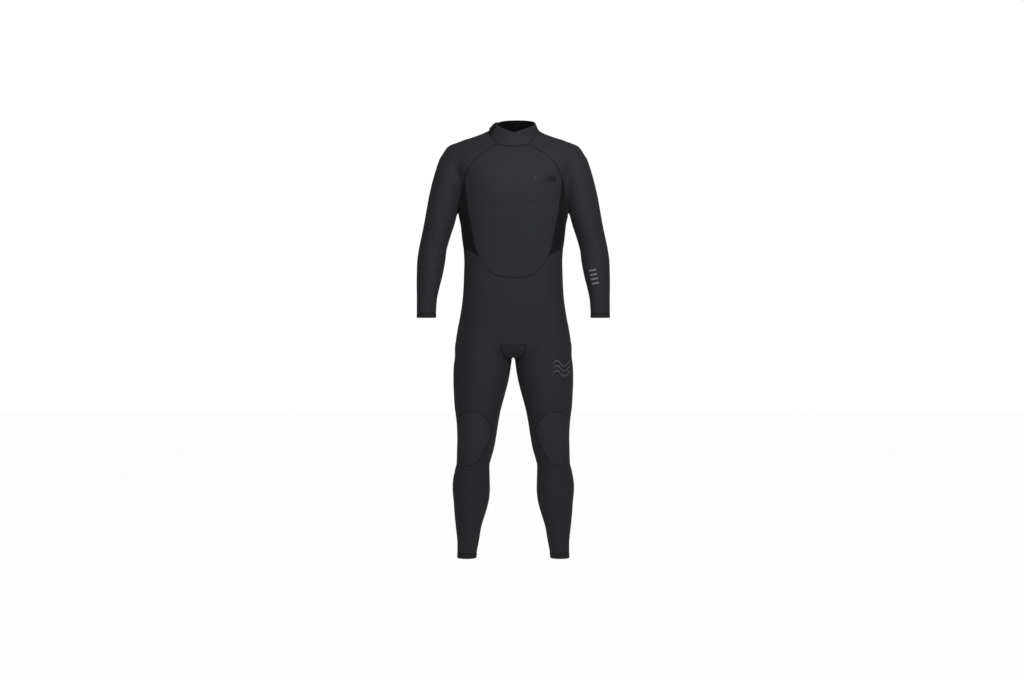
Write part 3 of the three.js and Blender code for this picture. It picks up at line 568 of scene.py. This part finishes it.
def add(name, verts, faces, material, body="suit", nodes=None, uv=None, seam_d=None,
        inner=None, inner_faces=(0, 0), smooth=True):
    """Makes one mesh in metres and ties it to its body and to the solids that it replaces: the
    one of its own name, if none are given."""
    mesh = bpy.data.meshes.new(name)
    cells = faces.tolist() if isinstance(faces, np.ndarray) else faces
    mesh.from_pydata((np.asarray(verts) / 1000).tolist(), [], cells)
    obj = bpy.data.objects.new(name, mesh)
    bpy.context.collection.objects.link(obj)
    mesh.materials.append(material)
    if inner is not None:
        mesh.materials.append(inner)
        index = np.zeros(len(mesh.polygons), np.int32)
        index[inner_faces[0]:inner_faces[1]] = 1
        mesh.polygons.foreach_set("material_index", index)
    if uv is not None:
        loops = np.empty(len(mesh.loops), np.int32)
        mesh.loops.foreach_get("vertex_index", loops)
        layer = mesh.uv_layers.new(name="UVMap")
        layer.data.foreach_set("uv", np.asarray(uv, np.float32)[loops].ravel())
    if seam_d is not None:
        a = mesh.attributes.new("seam_d", "FLOAT", "POINT")
        a.data.foreach_set("value", np.asarray(seam_d, np.float32))
    mesh.polygons.foreach_set("use_smooth", np.full(len(mesh.polygons), smooth))
    if smooth:
        mesh.set_sharp_from_angle(angle=SHARP)
    if body:
        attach(obj, body)
    for replaced in [name[2:]] if nodes is None else nodes:
        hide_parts(replaced)
    return obj


def panel(name, grid, material, looped=False, rise=0.0, thick=THICK, level=False, groove=0.7,
          times=FINER, body="suit", bend=None, sides="tblr", lift=None):
    """A whole panel. bend is (body, start, end): when it is given, the panel is tied to no body, and its
    three values are not used.
    It prints its area and the size of the rectangle it was cut from."""
    fine = finer(grid, times, looped)
    if lift is not None:
        lift = np.interp(np.linspace(0, 1, fine.shape[1]), *lift)[None, :]
    outer, inner = sheet_verts(fine, looped, rise, thick, level, groove, lift)
    verts, faces, count = closed_sheet(outer, inner, looped)
    across, down = lengths(fine)
    seen = seam_distance(fine, looped, sides)
    uv = np.stack([across - across.mean(), -down], axis=-1).reshape(-1, 2)
    obj = add("v_" + name, verts, faces, material, body=None if bend else body,
              uv=np.vstack([uv, uv]), seam_d=np.concatenate([seen.ravel(), np.full(seen.size, 50.0)]),
              inner=LINING, inner_faces=(count[0], count[0] + count[1]))
    if bend:
        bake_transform(obj)
    middle = (outer + inner) / 2
    if looped:
        middle = np.concatenate([middle, middle[:, :1]], axis=1)
    a, b = lengths(middle)
    du, dv = np.diff(middle, axis=1)[:-1], np.diff(middle, axis=0)[:, :-1]
    area = np.linalg.norm(np.cross(du, dv), axis=2).sum() / 1e6
    width, length = a[:, -1].max() / 1000, b[-1].max() / 1000
    share = area / (width * length)
    if share < 0.32 or share > 1:
        length = area / width / 0.9  # a rectangle that the cut piece fills to nine tenths
    print(f"{name}: {width * 1000:.0f} x {length * 1000:.0f} mm, {area * 1e4:.0f} square cm")
    return obj


# %% [markdown]
# ## Materials
# The cloth is a matt knit glued to foam: nearly black and a touch blue, with a trace of sheen.
# Its loops are drawn 1.1 mm wide, which is coarser than real, so that they survive a render.

# %% Material helpers
KNIT_PITCH = 1.1  # mm; a real loop is about 0.4
CLOUD, GRAIN = 16.0, 900.0  # noise cells per metre: patches of 62 mm, specks of 1.1 mm
STITCH_IN, STITCH_HALF, STITCH_PITCH = 3.6, 0.45, 3.0  # mm


def colour(code):
    """A #rrggbb colour as linear light."""
    c = [int(code[i:i + 2], 16) / 255 for i in (1, 3, 5)]
    return [v / 12.92 if v <= 0.04045 else ((v + 0.055) / 1.055) ** 2.4 for v in c] + [1.0]


def new_material(name, hex_colour, rough=0.8, metal=0.0, spec=0.2, sheen=0.0):
    """A plain surface, with its node tree and its shader to add to."""
    m = bpy.data.materials.new(name)
    m.use_nodes = True
    shader = m.node_tree.nodes["Principled BSDF"]
    for key, value in (("Base Color", colour(hex_colour)), ("Roughness", rough), ("Metallic", metal),
                       ("Specular IOR Level", spec), ("Sheen Weight", sheen), ("Sheen Roughness", 0.45)):
        shader.inputs[key].default_value = value
    return m, m.node_tree, shader


def node(tree, kind, inputs, output=0, **settings):
    """Adds a node with its settings and links, and gives one of its outputs. inputs maps a
    socket's name or number to a value or to the output that feeds it."""
    n = tree.nodes.new("ShaderNode" + kind)
    for key, value in settings.items():
        setattr(n, key, value)
    for key, value in inputs.items():
        if isinstance(value, bpy.types.NodeSocket):
            tree.links.new(value, n.inputs[key])
        else:
            n.inputs[key].default_value = value
    return n.outputs[output]


def wave(tree, along, period):
    """The sine of the distance, one turn per period."""
    turns = node(tree, "Math", {0: along, 1: 2 * math.pi / period}, operation="MULTIPLY")
    return node(tree, "Math", {0: turns}, operation="SINE")


def neoprene(name, hex_colour, seam_hex, bump=0.25, mottle=0.06, rough=0.78, sheen=0.04):
    """A jersey-faced foam. Its colour wanders by two noises and darkens in the seam groove. Its
    height is the product of a wave across and one half as frequent along, for the loops, plus
    the stitches that run beside each seam."""
    m, tree, shader = new_material(name, hex_colour, rough, sheen=sheen)
    uv = node(tree, "UVMap", {}, uv_map="UVMap")
    space = node(tree, "TexCoord", {}, "Object")
    d = node(tree, "Attribute", {}, "Fac", attribute_name="seam_d")
    shade = 1.0
    for scale, detail, share in ((GRAIN, 1.0, 0.10), (CLOUD, 3.0, mottle)):
        noise = node(tree, "TexNoise", {"Vector": space, "Scale": scale, "Detail": detail})
        even = node(tree, "Math", {0: noise, 1: 0.5}, operation="SUBTRACT")
        shade = node(tree, "Math", {0: even, 1: share, 2: shade}, operation="MULTIPLY_ADD")
    base = node(tree, "HueSaturation", {"Color": colour(hex_colour), "Value": shade})
    edge = node(tree, "MapRange", {0: d, 1: 0.6, 2: 3.2, 3: 1.0, 4: 0.0})
    mixed = node(tree, "Mix", {0: edge, 6: base, 7: colour(seam_hex)}, 2, data_type="RGBA")
    x, y = (node(tree, "SeparateXYZ", {0: uv}, k) for k in (0, 1))
    both = node(tree, "Math", {0: x, 1: y}, operation="ADD")
    dash = node(tree, "Math", {0: wave(tree, both, STITCH_PITCH), 1: -0.2}, operation="GREATER_THAN")
    row = node(tree, "Math", {0: d, 1: STITCH_IN, 2: STITCH_HALF}, operation="COMPARE")
    stitch = node(tree, "Math", {0: row, 1: dash}, operation="MULTIPLY")
    raised = node(tree, "Math", {0: stitch, 1: 1.6}, operation="MULTIPLY")
    loops = node(tree, "Math", {0: wave(tree, x, KNIT_PITCH), 1: wave(tree, y, 2 * KNIT_PITCH)},
                 operation="MULTIPLY")
    height = node(tree, "Math", {0: loops, 1: 0.35, 2: raised}, operation="MULTIPLY_ADD")
    normal = node(tree, "Bump", {"Strength": bump, "Distance": 0.0004, "Height": height})
    tree.links.new(mixed, shader.inputs["Base Color"])
    tree.links.new(normal, shader.inputs["Normal"])
    return m


def moulded(name, hex_colour, rough, metal=0.0, spec=0.4, size=2.0):
    """Moulded or cast parts: a satin skin whose polish and tone vary over a few millimetres
    (size), with fine pits a fifth as wide."""
    m, tree, shader = new_material(name, hex_colour, rough, metal, spec)
    space = node(tree, "TexCoord", {}, "Object")
    worn = node(tree, "TexNoise", {"Vector": space, "Scale": 1000 / size, "Detail": 3.0})
    pits = node(tree, "TexNoise", {"Vector": space, "Scale": 5000 / size, "Detail": 2.0})
    polish = node(tree, "MapRange", {0: worn, 3: rough - 0.12, 4: rough + 0.15})
    tone = node(tree, "MapRange", {0: worn, 3: 0.8, 4: 1.25})
    base = node(tree, "HueSaturation", {"Color": colour(hex_colour), "Value": tone})
    normal = node(tree, "Bump", {"Strength": 0.2, "Distance": 0.0001, "Height": pits})
    for key, value in (("Roughness", polish), ("Base Color", base), ("Normal", normal)):
        tree.links.new(value, shader.inputs[key])
    return m


# %% [markdown]
# The cloths differ by tone first, which is what tells them apart at arm's length.

# %% The materials
# Smooth knit over foam: a calm, soft field for the seams to cut.
BODY = neoprene("jersey_neoprene", "#2d2e32", "#1a1b1d")
# The same foam dyed black: it narrows the waist to the eye.
SIDE = neoprene("side_neoprene", "#121316", "#0b0b0d")
# A tough printed face: deeper grain and more shine, so the pad reads as armour.
KNEE = neoprene("knee_neoprene", "#2f3034", "#141517", bump=0.5, rough=0.7)
# Taped hem: a thin darker line that ends the limb.
HEM = neoprene("hem_neoprene", "#292a2d", "#141517")
# Black foam: the tab's outline shows against the neck.
TRIM = neoprene("tab_neoprene", "#0e0f11", "#08080a")
# Plain black jersey: very matt, so openings look deep.
LINING = neoprene("jersey_lining", "#060607", "#040405", rough=0.9)
# Woven polyester: a strong weave catches light beside the teeth.
TAPE = neoprene("woven_zip_tape", "#131315", "#0c0c0e", bump=0.6, rough=0.85)
# Hook and loop: uneven pile with no shine at all.
HOOKS = neoprene("hook_and_loop", "#060607", "#040405", bump=1.0, rough=0.95, mottle=0.3)
# Hard plastic: a soft glint on each tooth.
TEETH = moulded("acetal_teeth", "#18181a", 0.4)
# Painted zinc: the only metal, so it has the sharpest glint.
METAL = moulded("painted_zinc", "#2b2b2e", 0.35, metal=0.7, spec=0.5, size=4.0)
# Rubber: dull, with a worn patchy skin.
PULL = moulded("rubbery_pull", "#0e0e10", 0.6)
print("materials:", [m.name for m in bpy.data.materials])

# %% [markdown]
# ## Trunk
# One waist seam arcs from side panel to side panel, under the chest panel.

# %% Trunk panels
neck_line = seam([R["neck_front"], front(-28, -6), front(0, -8), front(28, -6), L["neck_front"]], 12)
under_chest = [front(-68, -422), front(0, WAIST_FRONT_Z), front(68, -422)]
waist_line = seam([R["side_front"][-1], *under_chest, L["side_front"][-1]], 12)
gusset_top = seam([R["gusset_front"][0], front(0, -656), L["gusset_front"][0]], 6)
gusset_low = seam([R["gusset_back"][0], back(0, -646), L["gusset_back"][0]], 6)
L["centre_back"][-1] = R["centre_back"][-1] = gusset_low[3 * FINE]
panel("front_panel", fill(join(R["raglan_front"], R["side_front"]),
      join(L["raglan_front"], L["side_front"]), [(0, neck_line), (14, waist_line)]), BODY)
panel("lower_front_panel", fill(R["outer"], L["outer"], [
    (0, join(turned(R["flank_front"]), waist_line, L["flank_front"])),
    (8, join(R["hip_front"], gusset_top, turned(L["hip_front"])))]), BODY, sides="tlr")
panel("crotch_gusset", fill(join(R["gusset_front"], turned(R["gusset_back"])),
      join(L["gusset_front"], turned(L["gusset_back"])),
      [(0, gusset_top), (3, seam([R["gusset_front"][-1], free(0, 4, -704), L["gusset_front"][-1]], 6)),
       (6, gusset_low)]), BODY)
for word, s in SIDES:
    panel("back_panel_" + word, fill(s["zip_edge"], join(s["raglan_back"], s["side_back"]),
          [(0, turned(s["neck_back"])), (14, turned(s["waist_back"]))]), BODY)
    panel("side_panel_" + word, fill(s["side_front"], s["side_back"], [
        (0, join(s["pit_front"], turned(s["pit_back"]))),
        (8, join(s["flank_front"], turned(s["flank_back"])))]), SIDE)
    centre = np.linspace(s["zip_edge"][-1], s["centre_back"][0], FINE + 1)
    hem = turned(gusset_low[3 * FINE:]) if word == "left" else gusset_low[:3 * FINE + 1]
    panel("seat_" + word, fill(s["outer"], s["centre_back"], [
        (0, join(turned(s["flank_back"]), s["waist_back"], centre)), (8, join(s["hip_back"], hem))]),
          BODY, sides="tlr")

# %% [markdown]
# ## Sleeves and legs
# The elbow and knee sections lie between the trunk and a limb, and are tied to no body.

# %% Sleeves
ELBOW_X, ELBOW_Y, KNEE_X, KNEE_Y = 0.264, -0.012, 0.12, 0.018  # metres: where the limbs bend
HEM_RISE = 0.4


def tube(table, side, top, low, steps):
    """Level rings of a limb from one height to another."""
    return np.array([ring(table, side, z) for z in np.linspace(top, low, steps * FINE + 1)])


def bend_of(body, x, y, top, low):
    """The limb's body and two points at a section's top and lower levels, as one tuple."""
    return body, (x, y, top / 1000), (x, y, low / 1000)


for word, s in SIDES:
    side = s["side"]
    panel("raglan_sleeve_" + word, fill(join(s["raglan_front"], s["pit_front"], s["underarm"]),
          join(s["raglan_back"], s["pit_back"], s["underarm"]),
          [(0, s["neck_side"]), (6, s["deltoid"]), (9, s["arm_ring"]),
           (13, np.vstack([s["elbow_top"], s["elbow_top"][:1]]))]), BODY, sides="tlr")
    limb_body, cuff = "forearm_" + word, WRIST_Z + WRIST_H
    panel("elbow_" + word, tube(ARM, side, ELBOW_TOP, ELBOW_LOW, 6), BODY, looped=True, sides="",
          groove=0.2, bend=bend_of(limb_body, side * ELBOW_X, ELBOW_Y, ELBOW_TOP, ELBOW_LOW))
    panel("forearm_" + word, tube(ARM, side, ELBOW_LOW, cuff, 6), BODY, looped=True, sides="b",
          groove=0.2, body=limb_body)
    panel("wrist_cuff_" + word, tube(ARM, side, cuff, WRIST_Z, 1), HEM, looped=True, level=True,
          rise=HEM_RISE, body=limb_body, groove=0.4)

# %% [markdown]
# A leg is two pieces above the knee and two below. The pad is let into the knee's front.

# %% Legs
for word, s in SIDES:
    side, limb_body = s["side"], "lower_leg_" + word
    bend = bend_of(limb_body, side * KNEE_X, KNEE_Y, KNEE_TOP, KNEE_LOW)
    panel("thigh_front_" + word, fill(s["thigh_out"], join(s["gusset_front"], s["thigh_in"]),
          [(0, s["hip_front"]), (8, join(s["top_a"], s["top_b"], s["top_c"]))]), BODY, sides="lr")
    panel("thigh_back_" + word, fill(s["thigh_out"], join(s["gusset_back"], s["thigh_in"]),
          [(0, s["hip_back"]), (8, s["top_d"])]), BODY, sides="lr")
    panel("knee_pad_" + word, fill(s["pad_out"], s["pad_in"], [(0, s["top_b"]), (6, s["low_b"])]), KNEE,
          rise=PAD_RISE, thick=THICK + PAD_RISE, bend=bend, groove=1.0)
    behind = [around_limb(LEG, side, a, (KNEE_TOP + KNEE_LOW) / 2) for a in (100, 135, 180, 225, 262)]
    mid = seam([s["pad_out"][3 * FINE], *behind, s["pad_in"][3 * FINE]], 9)
    panel("knee_back_" + word, fill(s["pad_out"], s["pad_in"], [
        (0, join(turned(s["top_a"]), s["top_d"], turned(s["top_c"]))), (3, mid),
        (6, join(turned(s["low_a"]), s["low_d"], turned(s["low_c"])))]), BODY, bend=bend, sides="lr")
    ankle = np.vstack([s["ankle"], s["ankle"][:1]])
    half_ring = 6 * FINE
    panel("shin_" + word, fill(s["shin_out"], s["shin_in"], [
        (0, join(s["low_a"], s["low_b"], s["low_c"])), (7, ankle[half_ring::-1])]), BODY,
          body=limb_body, sides="lrb")
    panel("calf_" + word, fill(s["shin_out"], s["shin_in"], [
        (0, s["low_d"]), (7, ankle[half_ring:])]), BODY, body=limb_body, sides="lrb")
    panel("ankle_cuff_" + word, tube(LEG, side, ANKLE_Z + CUFF_H, ANKLE_Z, 1), HEM, looped=True,
          level=True, rise=HEM_RISE, body=limb_body, groove=0.4)

# %% [markdown]
# ## Collar and closure
# The collar climbs from the neck seam to a rim that dips at the front. A black tab wraps round
# the wearer's right of the neck and holds by hook and loop.

# %% Collar
RIM_FRONT, RIM_CLIMB = 38, 58.9
neck_ring = join(neck_line, L["neck_side"], L["neck_back"],
                 seam([L["neck_zip"], free(0, 75, 44), R["neck_zip"]], 2),
                 turned(R["neck_back"]), turned(R["neck_side"]))[:-1]


def turn_of(p):
    """The angle of each point round the neck, from the front to the wearer's left."""
    return np.arctan2(p[:, 0] - 4, -(p[:, 1] + 2))


def rim(t):
    """The rim's height at an angle round the neck: from RIM_FRONT to 92 at the back, by the
    share (1 - cosine) / 2 to the power 0.45, which climbs quickly at the sides. A little is
    added to the share, and its effect taken off again, so that the dip is round."""
    return RIM_FRONT + RIM_CLIMB * (((1 - np.cos(t)) / 2 + 0.004) ** 0.45 - 0.0833)


def collar_guess(t, z):
    """The neck section's point at each angle and height, to settle from."""
    s = section(NECK, z)
    return np.stack([s[:, 1] + s[:, 3] * np.sin(t),
                     s[:, 2] - np.cos(t) * np.where(np.cos(t) > 0, s[:, 4], s[:, 5]), z], axis=1)


turn = turn_of(neck_ring)
rows = [neck_ring]
for k in np.linspace(0, 1, 4 * FINE + 1)[1:]:
    z = neck_ring[:, 2] + (rim(turn) - neck_ring[:, 2]) * k
    cx = section(NECK, z)[:, 1]
    near = np.stack([neck_ring[:, 0] + cx, neck_ring[:, 1], z], axis=1)
    rows.append(settle(near + (collar_guess(turn, z) - near) * min(1, 2 * k), (1, 1, 0)))
panel("collar", np.array(rows), BODY, looped=True, sides="t")

# %% [markdown]
# Three layers lie over the collar: a loop patch sewn to it, a hook patch, and the tab.

# %% Closure
PATCH, TAB = 1.0, 2.0  # thickness
LOOP_RISE, HOOK_RISE, TAB_RISE, TAB_LIFT = 1.7, 3.0, 2.7, 3.2  # of each outer face


def on_neck(degrees, k):
    """Points of the closure: an angle round the wearer's right, and a share of its height."""
    t = -np.radians(degrees)
    order = np.argsort(turn)
    low = np.interp(t, turn[order], neck_ring[order, 2]) + 4
    z = low + (rim(t) - 3 - low) * k
    return settle(collar_guess(t, z), (1, 1, 0))


def band(a, b, low, high, cols, rows=6):
    """A grid on the neck between two angles and two shares of its height."""
    d = np.linspace(a, b, cols)
    return np.array([on_neck(d, k) for k in np.linspace(high, low, rows)])


for name, rise, body in (("loop_patch", LOOP_RISE, "suit"), ("hook_patch", HOOK_RISE, "closure")):
    panel(name, band(62, 92, 0.12, 0.88, 10), HOOKS, rise=rise, thick=PATCH, groove=0.1,
          body=body)
panel("collar_tab", band(58, 140, 0.05, 0.95, 30), TRIM, rise=TAB_RISE, thick=TAB, groove=0.4,
      body="closure", lift=([0, 0.45, 0.75, 1], [TAB_LIFT, TAB_LIFT, 0, 0]))

# %% [markdown]
# ## The back zip
# Its line is straight, so that the slider can run down it. Each tooth is a small block set across
# the line, left and right in turn.

# %% Zip
def strip(x0, x1, z0, z1, rows, cols):
    """A grid on the back between two widths and two heights."""
    across = np.linspace(x0, x1, cols)
    return np.array([[back(x, z) for x in across] for z in np.linspace(z0, z1, rows)])


top = seam([R["neck_zip"], free(0, 75, 44), L["neck_zip"]], 2)
below = strip(-ZIP_HALF, ZIP_HALF, 38, ZIP_TOP, 9, len(top))
panel("zip_garage", np.concatenate([top[None], below]), BODY)
for word, way in (("left", 1), ("right", -1)):
    tape = strip(way * (TEETH_HALF + 0.3), way * ZIP_HALF, ZIP_TOP, WAIST_BACK_Z, 24, 4)
    panel("zip_tape_" + word, tape, TAPE, rise=-0.4, thick=1.4, times=1, groove=0.0)
panel("zip_baffle", strip(-26, 26, -30, WAIST_BACK_Z, 24, 9), TAPE, rise=-THICK - 0.9, thick=1.5, times=1,
      groove=0.0)

# %% [markdown]
# The hard pieces are moulded or cast with soft edges: at their size a bevelled block serves.

# %% Blocks
def boxes(centres, half_sizes, bevel=0.25):
    """Blocks with their edges taken off: each is an octagon in plan, squeezed at both ends."""
    corners, faces = [], []
    centres = np.atleast_2d(centres)
    for c, h in zip(centres, np.broadcast_to(half_sizes, centres.shape)):
        b = min(bevel, *(0.45 * h))
        start = len(corners)
        for sy, inset in ((-1, b), (-1, 0), (1, 0), (1, b)):
            yy = c[1] + sy * (h[1] - (b if inset == 0 else 0))
            hx, hz = h[0] - inset, h[2] - inset
            for px, pz in ((-hx + b, -hz), (hx - b, -hz), (hx, -hz + b), (hx, hz - b),
                           (hx - b, hz), (-hx + b, hz), (-hx, hz - b), (-hx, -hz + b)):
                corners.append((c[0] + px, yy, c[2] + pz))
        faces.append([start + k for k in range(8)])
        for r in range(3):
            for k in range(8):
                a, d = start + r * 8 + k, start + r * 8 + (k + 1) % 8
                faces.append([a, a + 8, d + 8, d])
        faces.append([start + 24 + k for k in reversed(range(8))])
    return corners, faces


def blocks(name, centres, half_sizes, material, body, replaced, bevel=0.25):
    """Several blocks as one piece."""
    v, f = boxes(centres, half_sizes, bevel)
    print(f"{name}: {len(centres)} blocks")
    return add(name, v, f, material, body=body, nodes=[replaced])


PITCH = 1.5  # from a tooth to the next one on the other side
tooth_z = np.arange(ZIP_TOP - PITCH, WAIST_BACK_Z + 1, -PITCH)
side_of = np.where(np.arange(len(tooth_z)) % 2, 1.0, -1.0)
teeth = np.stack([0.75 * side_of, np.full_like(tooth_z, BACK_Y + 0.3), tooth_z], axis=1)
blocks("v_zip_teeth", teeth, (1.85, 1.3, 0.55), TEETH, "suit", "zip_teeth")
middle, half_long = (ZIP_TOP + WAIST_BACK_Z) / 2, (ZIP_TOP - WAIST_BACK_Z) / 2 - 0.5
blocks("v_zip_cord", [(0, BACK_Y - 0.9, middle)], (TEETH_HALF, 0.5, half_long), TAPE, "suit",
       "zip_teeth")
chain = BACK_Y + 1.6 + 0.3
for name, z in (("zip_stop_top", ZIP_TOP - 3.5), ("zip_stop_bottom", -434.5)):
    blocks("v_" + name, [(0, chain + 0.75, z)], (5, 0.75, 2.5), METAL, "suit", name, 0.4)

# %% [markdown]
# The slider is a plate with a wall each side of the teeth and a bridge on top. The pull hangs
# from the bridge by its loop.

# %% Slider and pull
slider_top, slider_low = ZIP_TOP - 7, ZIP_TOP - 22
mid, plate = (slider_top + slider_low) / 2, chain + 2
wall = 4.5 - 0.8
blocks("v_zip_slider", [
    (0, chain + 1, mid), (-wall, chain - 0.8, mid), (wall, chain - 0.8, mid), (0, plate + 3.45, mid),
    (0, plate + 1.5, slider_low + 3.6), (0, plate + 1.5, slider_top - 3.6)],
       np.array([(4.5, 1, 7.5), (0.8, 1.0, 7.0), (0.8, 1.0, 7.0), (1.9, 0.65, 4.4), (1.9, 1.7, 0.6),
                 (1.9, 1.7, 0.6)]), METAL, "slider", "zip_slider", 0.5)
pull_y, pull_top = plate + 1.3, slider_low + 6.1
blocks("v_zip_pull_tab", [
    (0, pull_y, pull_top - 0.8), (-3.2, pull_y, pull_top - 4.8), (3.2, pull_y, pull_top - 4.8),
    (0, pull_y, pull_top - 27)],
       np.array([(4, 0.8, 0.8), (0.8, 0.8, 3.9), (0.8, 0.8, 3.9), (4, 0.8, 19)]), PULL, "pull",
       "zip_pull_tab", 0.4)

# %% [markdown]
# ## Marks
# Plain printed bars stand where a suit carries its prints: they copy no mark.

# %% Printed marks
PRINT_TOP, PRINT_LOW = 0.9, 0.3  # a print's faces above the cloth, thicker than real to be seen


def print_on(outline):
    """A flat print: a small grid of the front. outline gives its four corners in x, z from top
    left, clockwise, and every point mixes the four."""
    c = np.array(outline, float)
    u, v = (a[..., None] for a in np.meshgrid(np.linspace(0, 1, 12), np.linspace(0, 1, 6)))
    p = (c[0] * (1 - u) + c[1] * u) * (1 - v) + (c[3] * (1 - u) + c[2] * u) * v
    g = np.array([front(x, z) for x, z in p.reshape(-1, 2)])
    n, soft = normals(g), relief(g)
    top, low = (g + n * (soft + off)[:, None] for off in (PRINT_TOP, PRINT_LOW))
    return closed_sheet(top.reshape(6, 12, 3), low.reshape(6, 12, 3), False)[:2]


def print_group(name, outlines, material, body):
    """Several prints as one piece."""
    verts, faces, n = [], [], 0
    for outline in outlines:
        v, f = print_on(outline)
        verts.append(v)
        faces.append(f + n)
        n += len(v)
    add(name, np.concatenate(verts), np.concatenate(faces), material, body, nodes=(), smooth=False)


# Rubbery ink: smoother than the jersey, so dark bars show on dark cloth.
INK_DARK = moulded("dark_print", "#0c0c0d", 0.6)
# The same ink in grey, meant to be seen.
INK_GREY = moulded("grey_print", "#77797e", 0.6)
bars = [[(x, -108), (x + 6, -108), (x + 6, -124), (x, -124)] for x in range(66, 138, 9)]
print_group("v_print_chest", bars, INK_DARK, "suit")
steps = [[(x, z), (x + 22, z + 4), (x + 23, z - 1), (x + 1, z - 5)]
         for x, z in ((240 + 3 * i, -382 - 14 * i) for i in range(2, 6))]
print_group("v_print_arm", steps, INK_GREY, "forearm_left")
waves = []
for k in range(3):
    for i in range(16):
        x0, x1 = 128 + 3.5 * i, 128 + 3.5 * (i + 1)
        z0, z1 = (-712 - 16 * k + 9 * math.sin(0.45 * q) for q in (i, i + 1))
        waves.append([(x0, z0), (x1, z1), (x1, z1 - 1.8), (x0, z0 - 1.8)])
print_group("v_print_thigh", waves, INK_GREY, "suit")

# %% [markdown]
# ## Studio
# The surround looks white but lights the suit only dimly. A key light stands high in front, a
# weak one low in front, and one behind draws the edges.

# %% Floor and surround
FLOOR_Z, FLOOR_HALF, DIM = -1.47, 14, 0.13
floor_mesh = bpy.data.meshes.new("floor")
corners = [(FLOOR_HALF * x, FLOOR_HALF * y, FLOOR_Z) for x, y in ((-1, -1), (1, -1), (1, 1), (-1, 1))]
floor_mesh.from_pydata(corners, [], [(0, 1, 2, 3)])
floor = bpy.data.objects.new("floor", floor_mesh)
bpy.context.collection.objects.link(floor)
# Painted board: nearly pure white, so the suit's shadow is barely drawn.
pale, tree, _ = new_material("pale_floor", "#f4f4f4", 0.9)
seen = node(tree, "Math", {0: node(tree, "LightPath", {}), 1: 0.98}, operation="MULTIPLY")
glow = node(tree, "Emission", {0: (1, 1, 1, 1), 1: 1.0})
out = tree.nodes["Material Output"]
lit = out.inputs[0].links[0].from_socket
tree.links.new(node(tree, "MixShader", {0: seen, 1: lit, 2: glow}), out.inputs[0])
floor_mesh.materials.append(pale)

world = bpy.data.worlds.new("studio")
bpy.context.scene.world = world
world.use_nodes = True
around, sky = world.node_tree, world.node_tree.nodes["Background"]
sky.inputs[0].default_value = (1, 1, 1, 1)
strength = node(around, "Math", {0: node(around, "LightPath", {}), 1: 1 - DIM, 2: DIM},
                operation="MULTIPLY_ADD")
around.links.new(strength, sky.inputs[1])
bpy.context.scene.view_settings.view_transform = "Standard"
print("surround lights the suit at", DIM)

# %% [markdown]
# Square lights stand in for softboxes. The camera is level with the middle of the suit.

# %% Lights and camera
def softbox(name, place, aim, size, watts):
    """A square light at a place, turned to face its aim."""
    light = bpy.data.lights.new(name, "AREA")
    light.shape, light.size, light.energy = "SQUARE", size, watts
    obj = bpy.data.objects.new(name, light)
    obj.location = place
    direction = Vector(aim) - Vector(place)
    obj.rotation_euler = direction.to_track_quat("-Z", "Y").to_euler()
    bpy.context.collection.objects.link(obj)
    print(f"{name} light: {watts} W, {size} m wide")


softbox("key", (0.45, -2.0, 1.05), (0, 0, -0.2), 0.8, 39)
softbox("low", (0.1, -3.4, -0.9), (0, 0, -0.95), 1.2, 7)
softbox("back", (0.0, 2.6, 0.5), (0, 0, -0.4), 1.0, 36)

camera_data = bpy.data.cameras.new("camera")
camera_data.lens, camera_data.sensor_width = 60, 36
camera = bpy.data.objects.new("camera", camera_data)
camera.location = (-0.0043, -5.605, -0.637)
camera.rotation_euler = (math.pi / 2, 0, 0)
bpy.context.collection.objects.link(camera)
bpy.context.scene.camera = camera
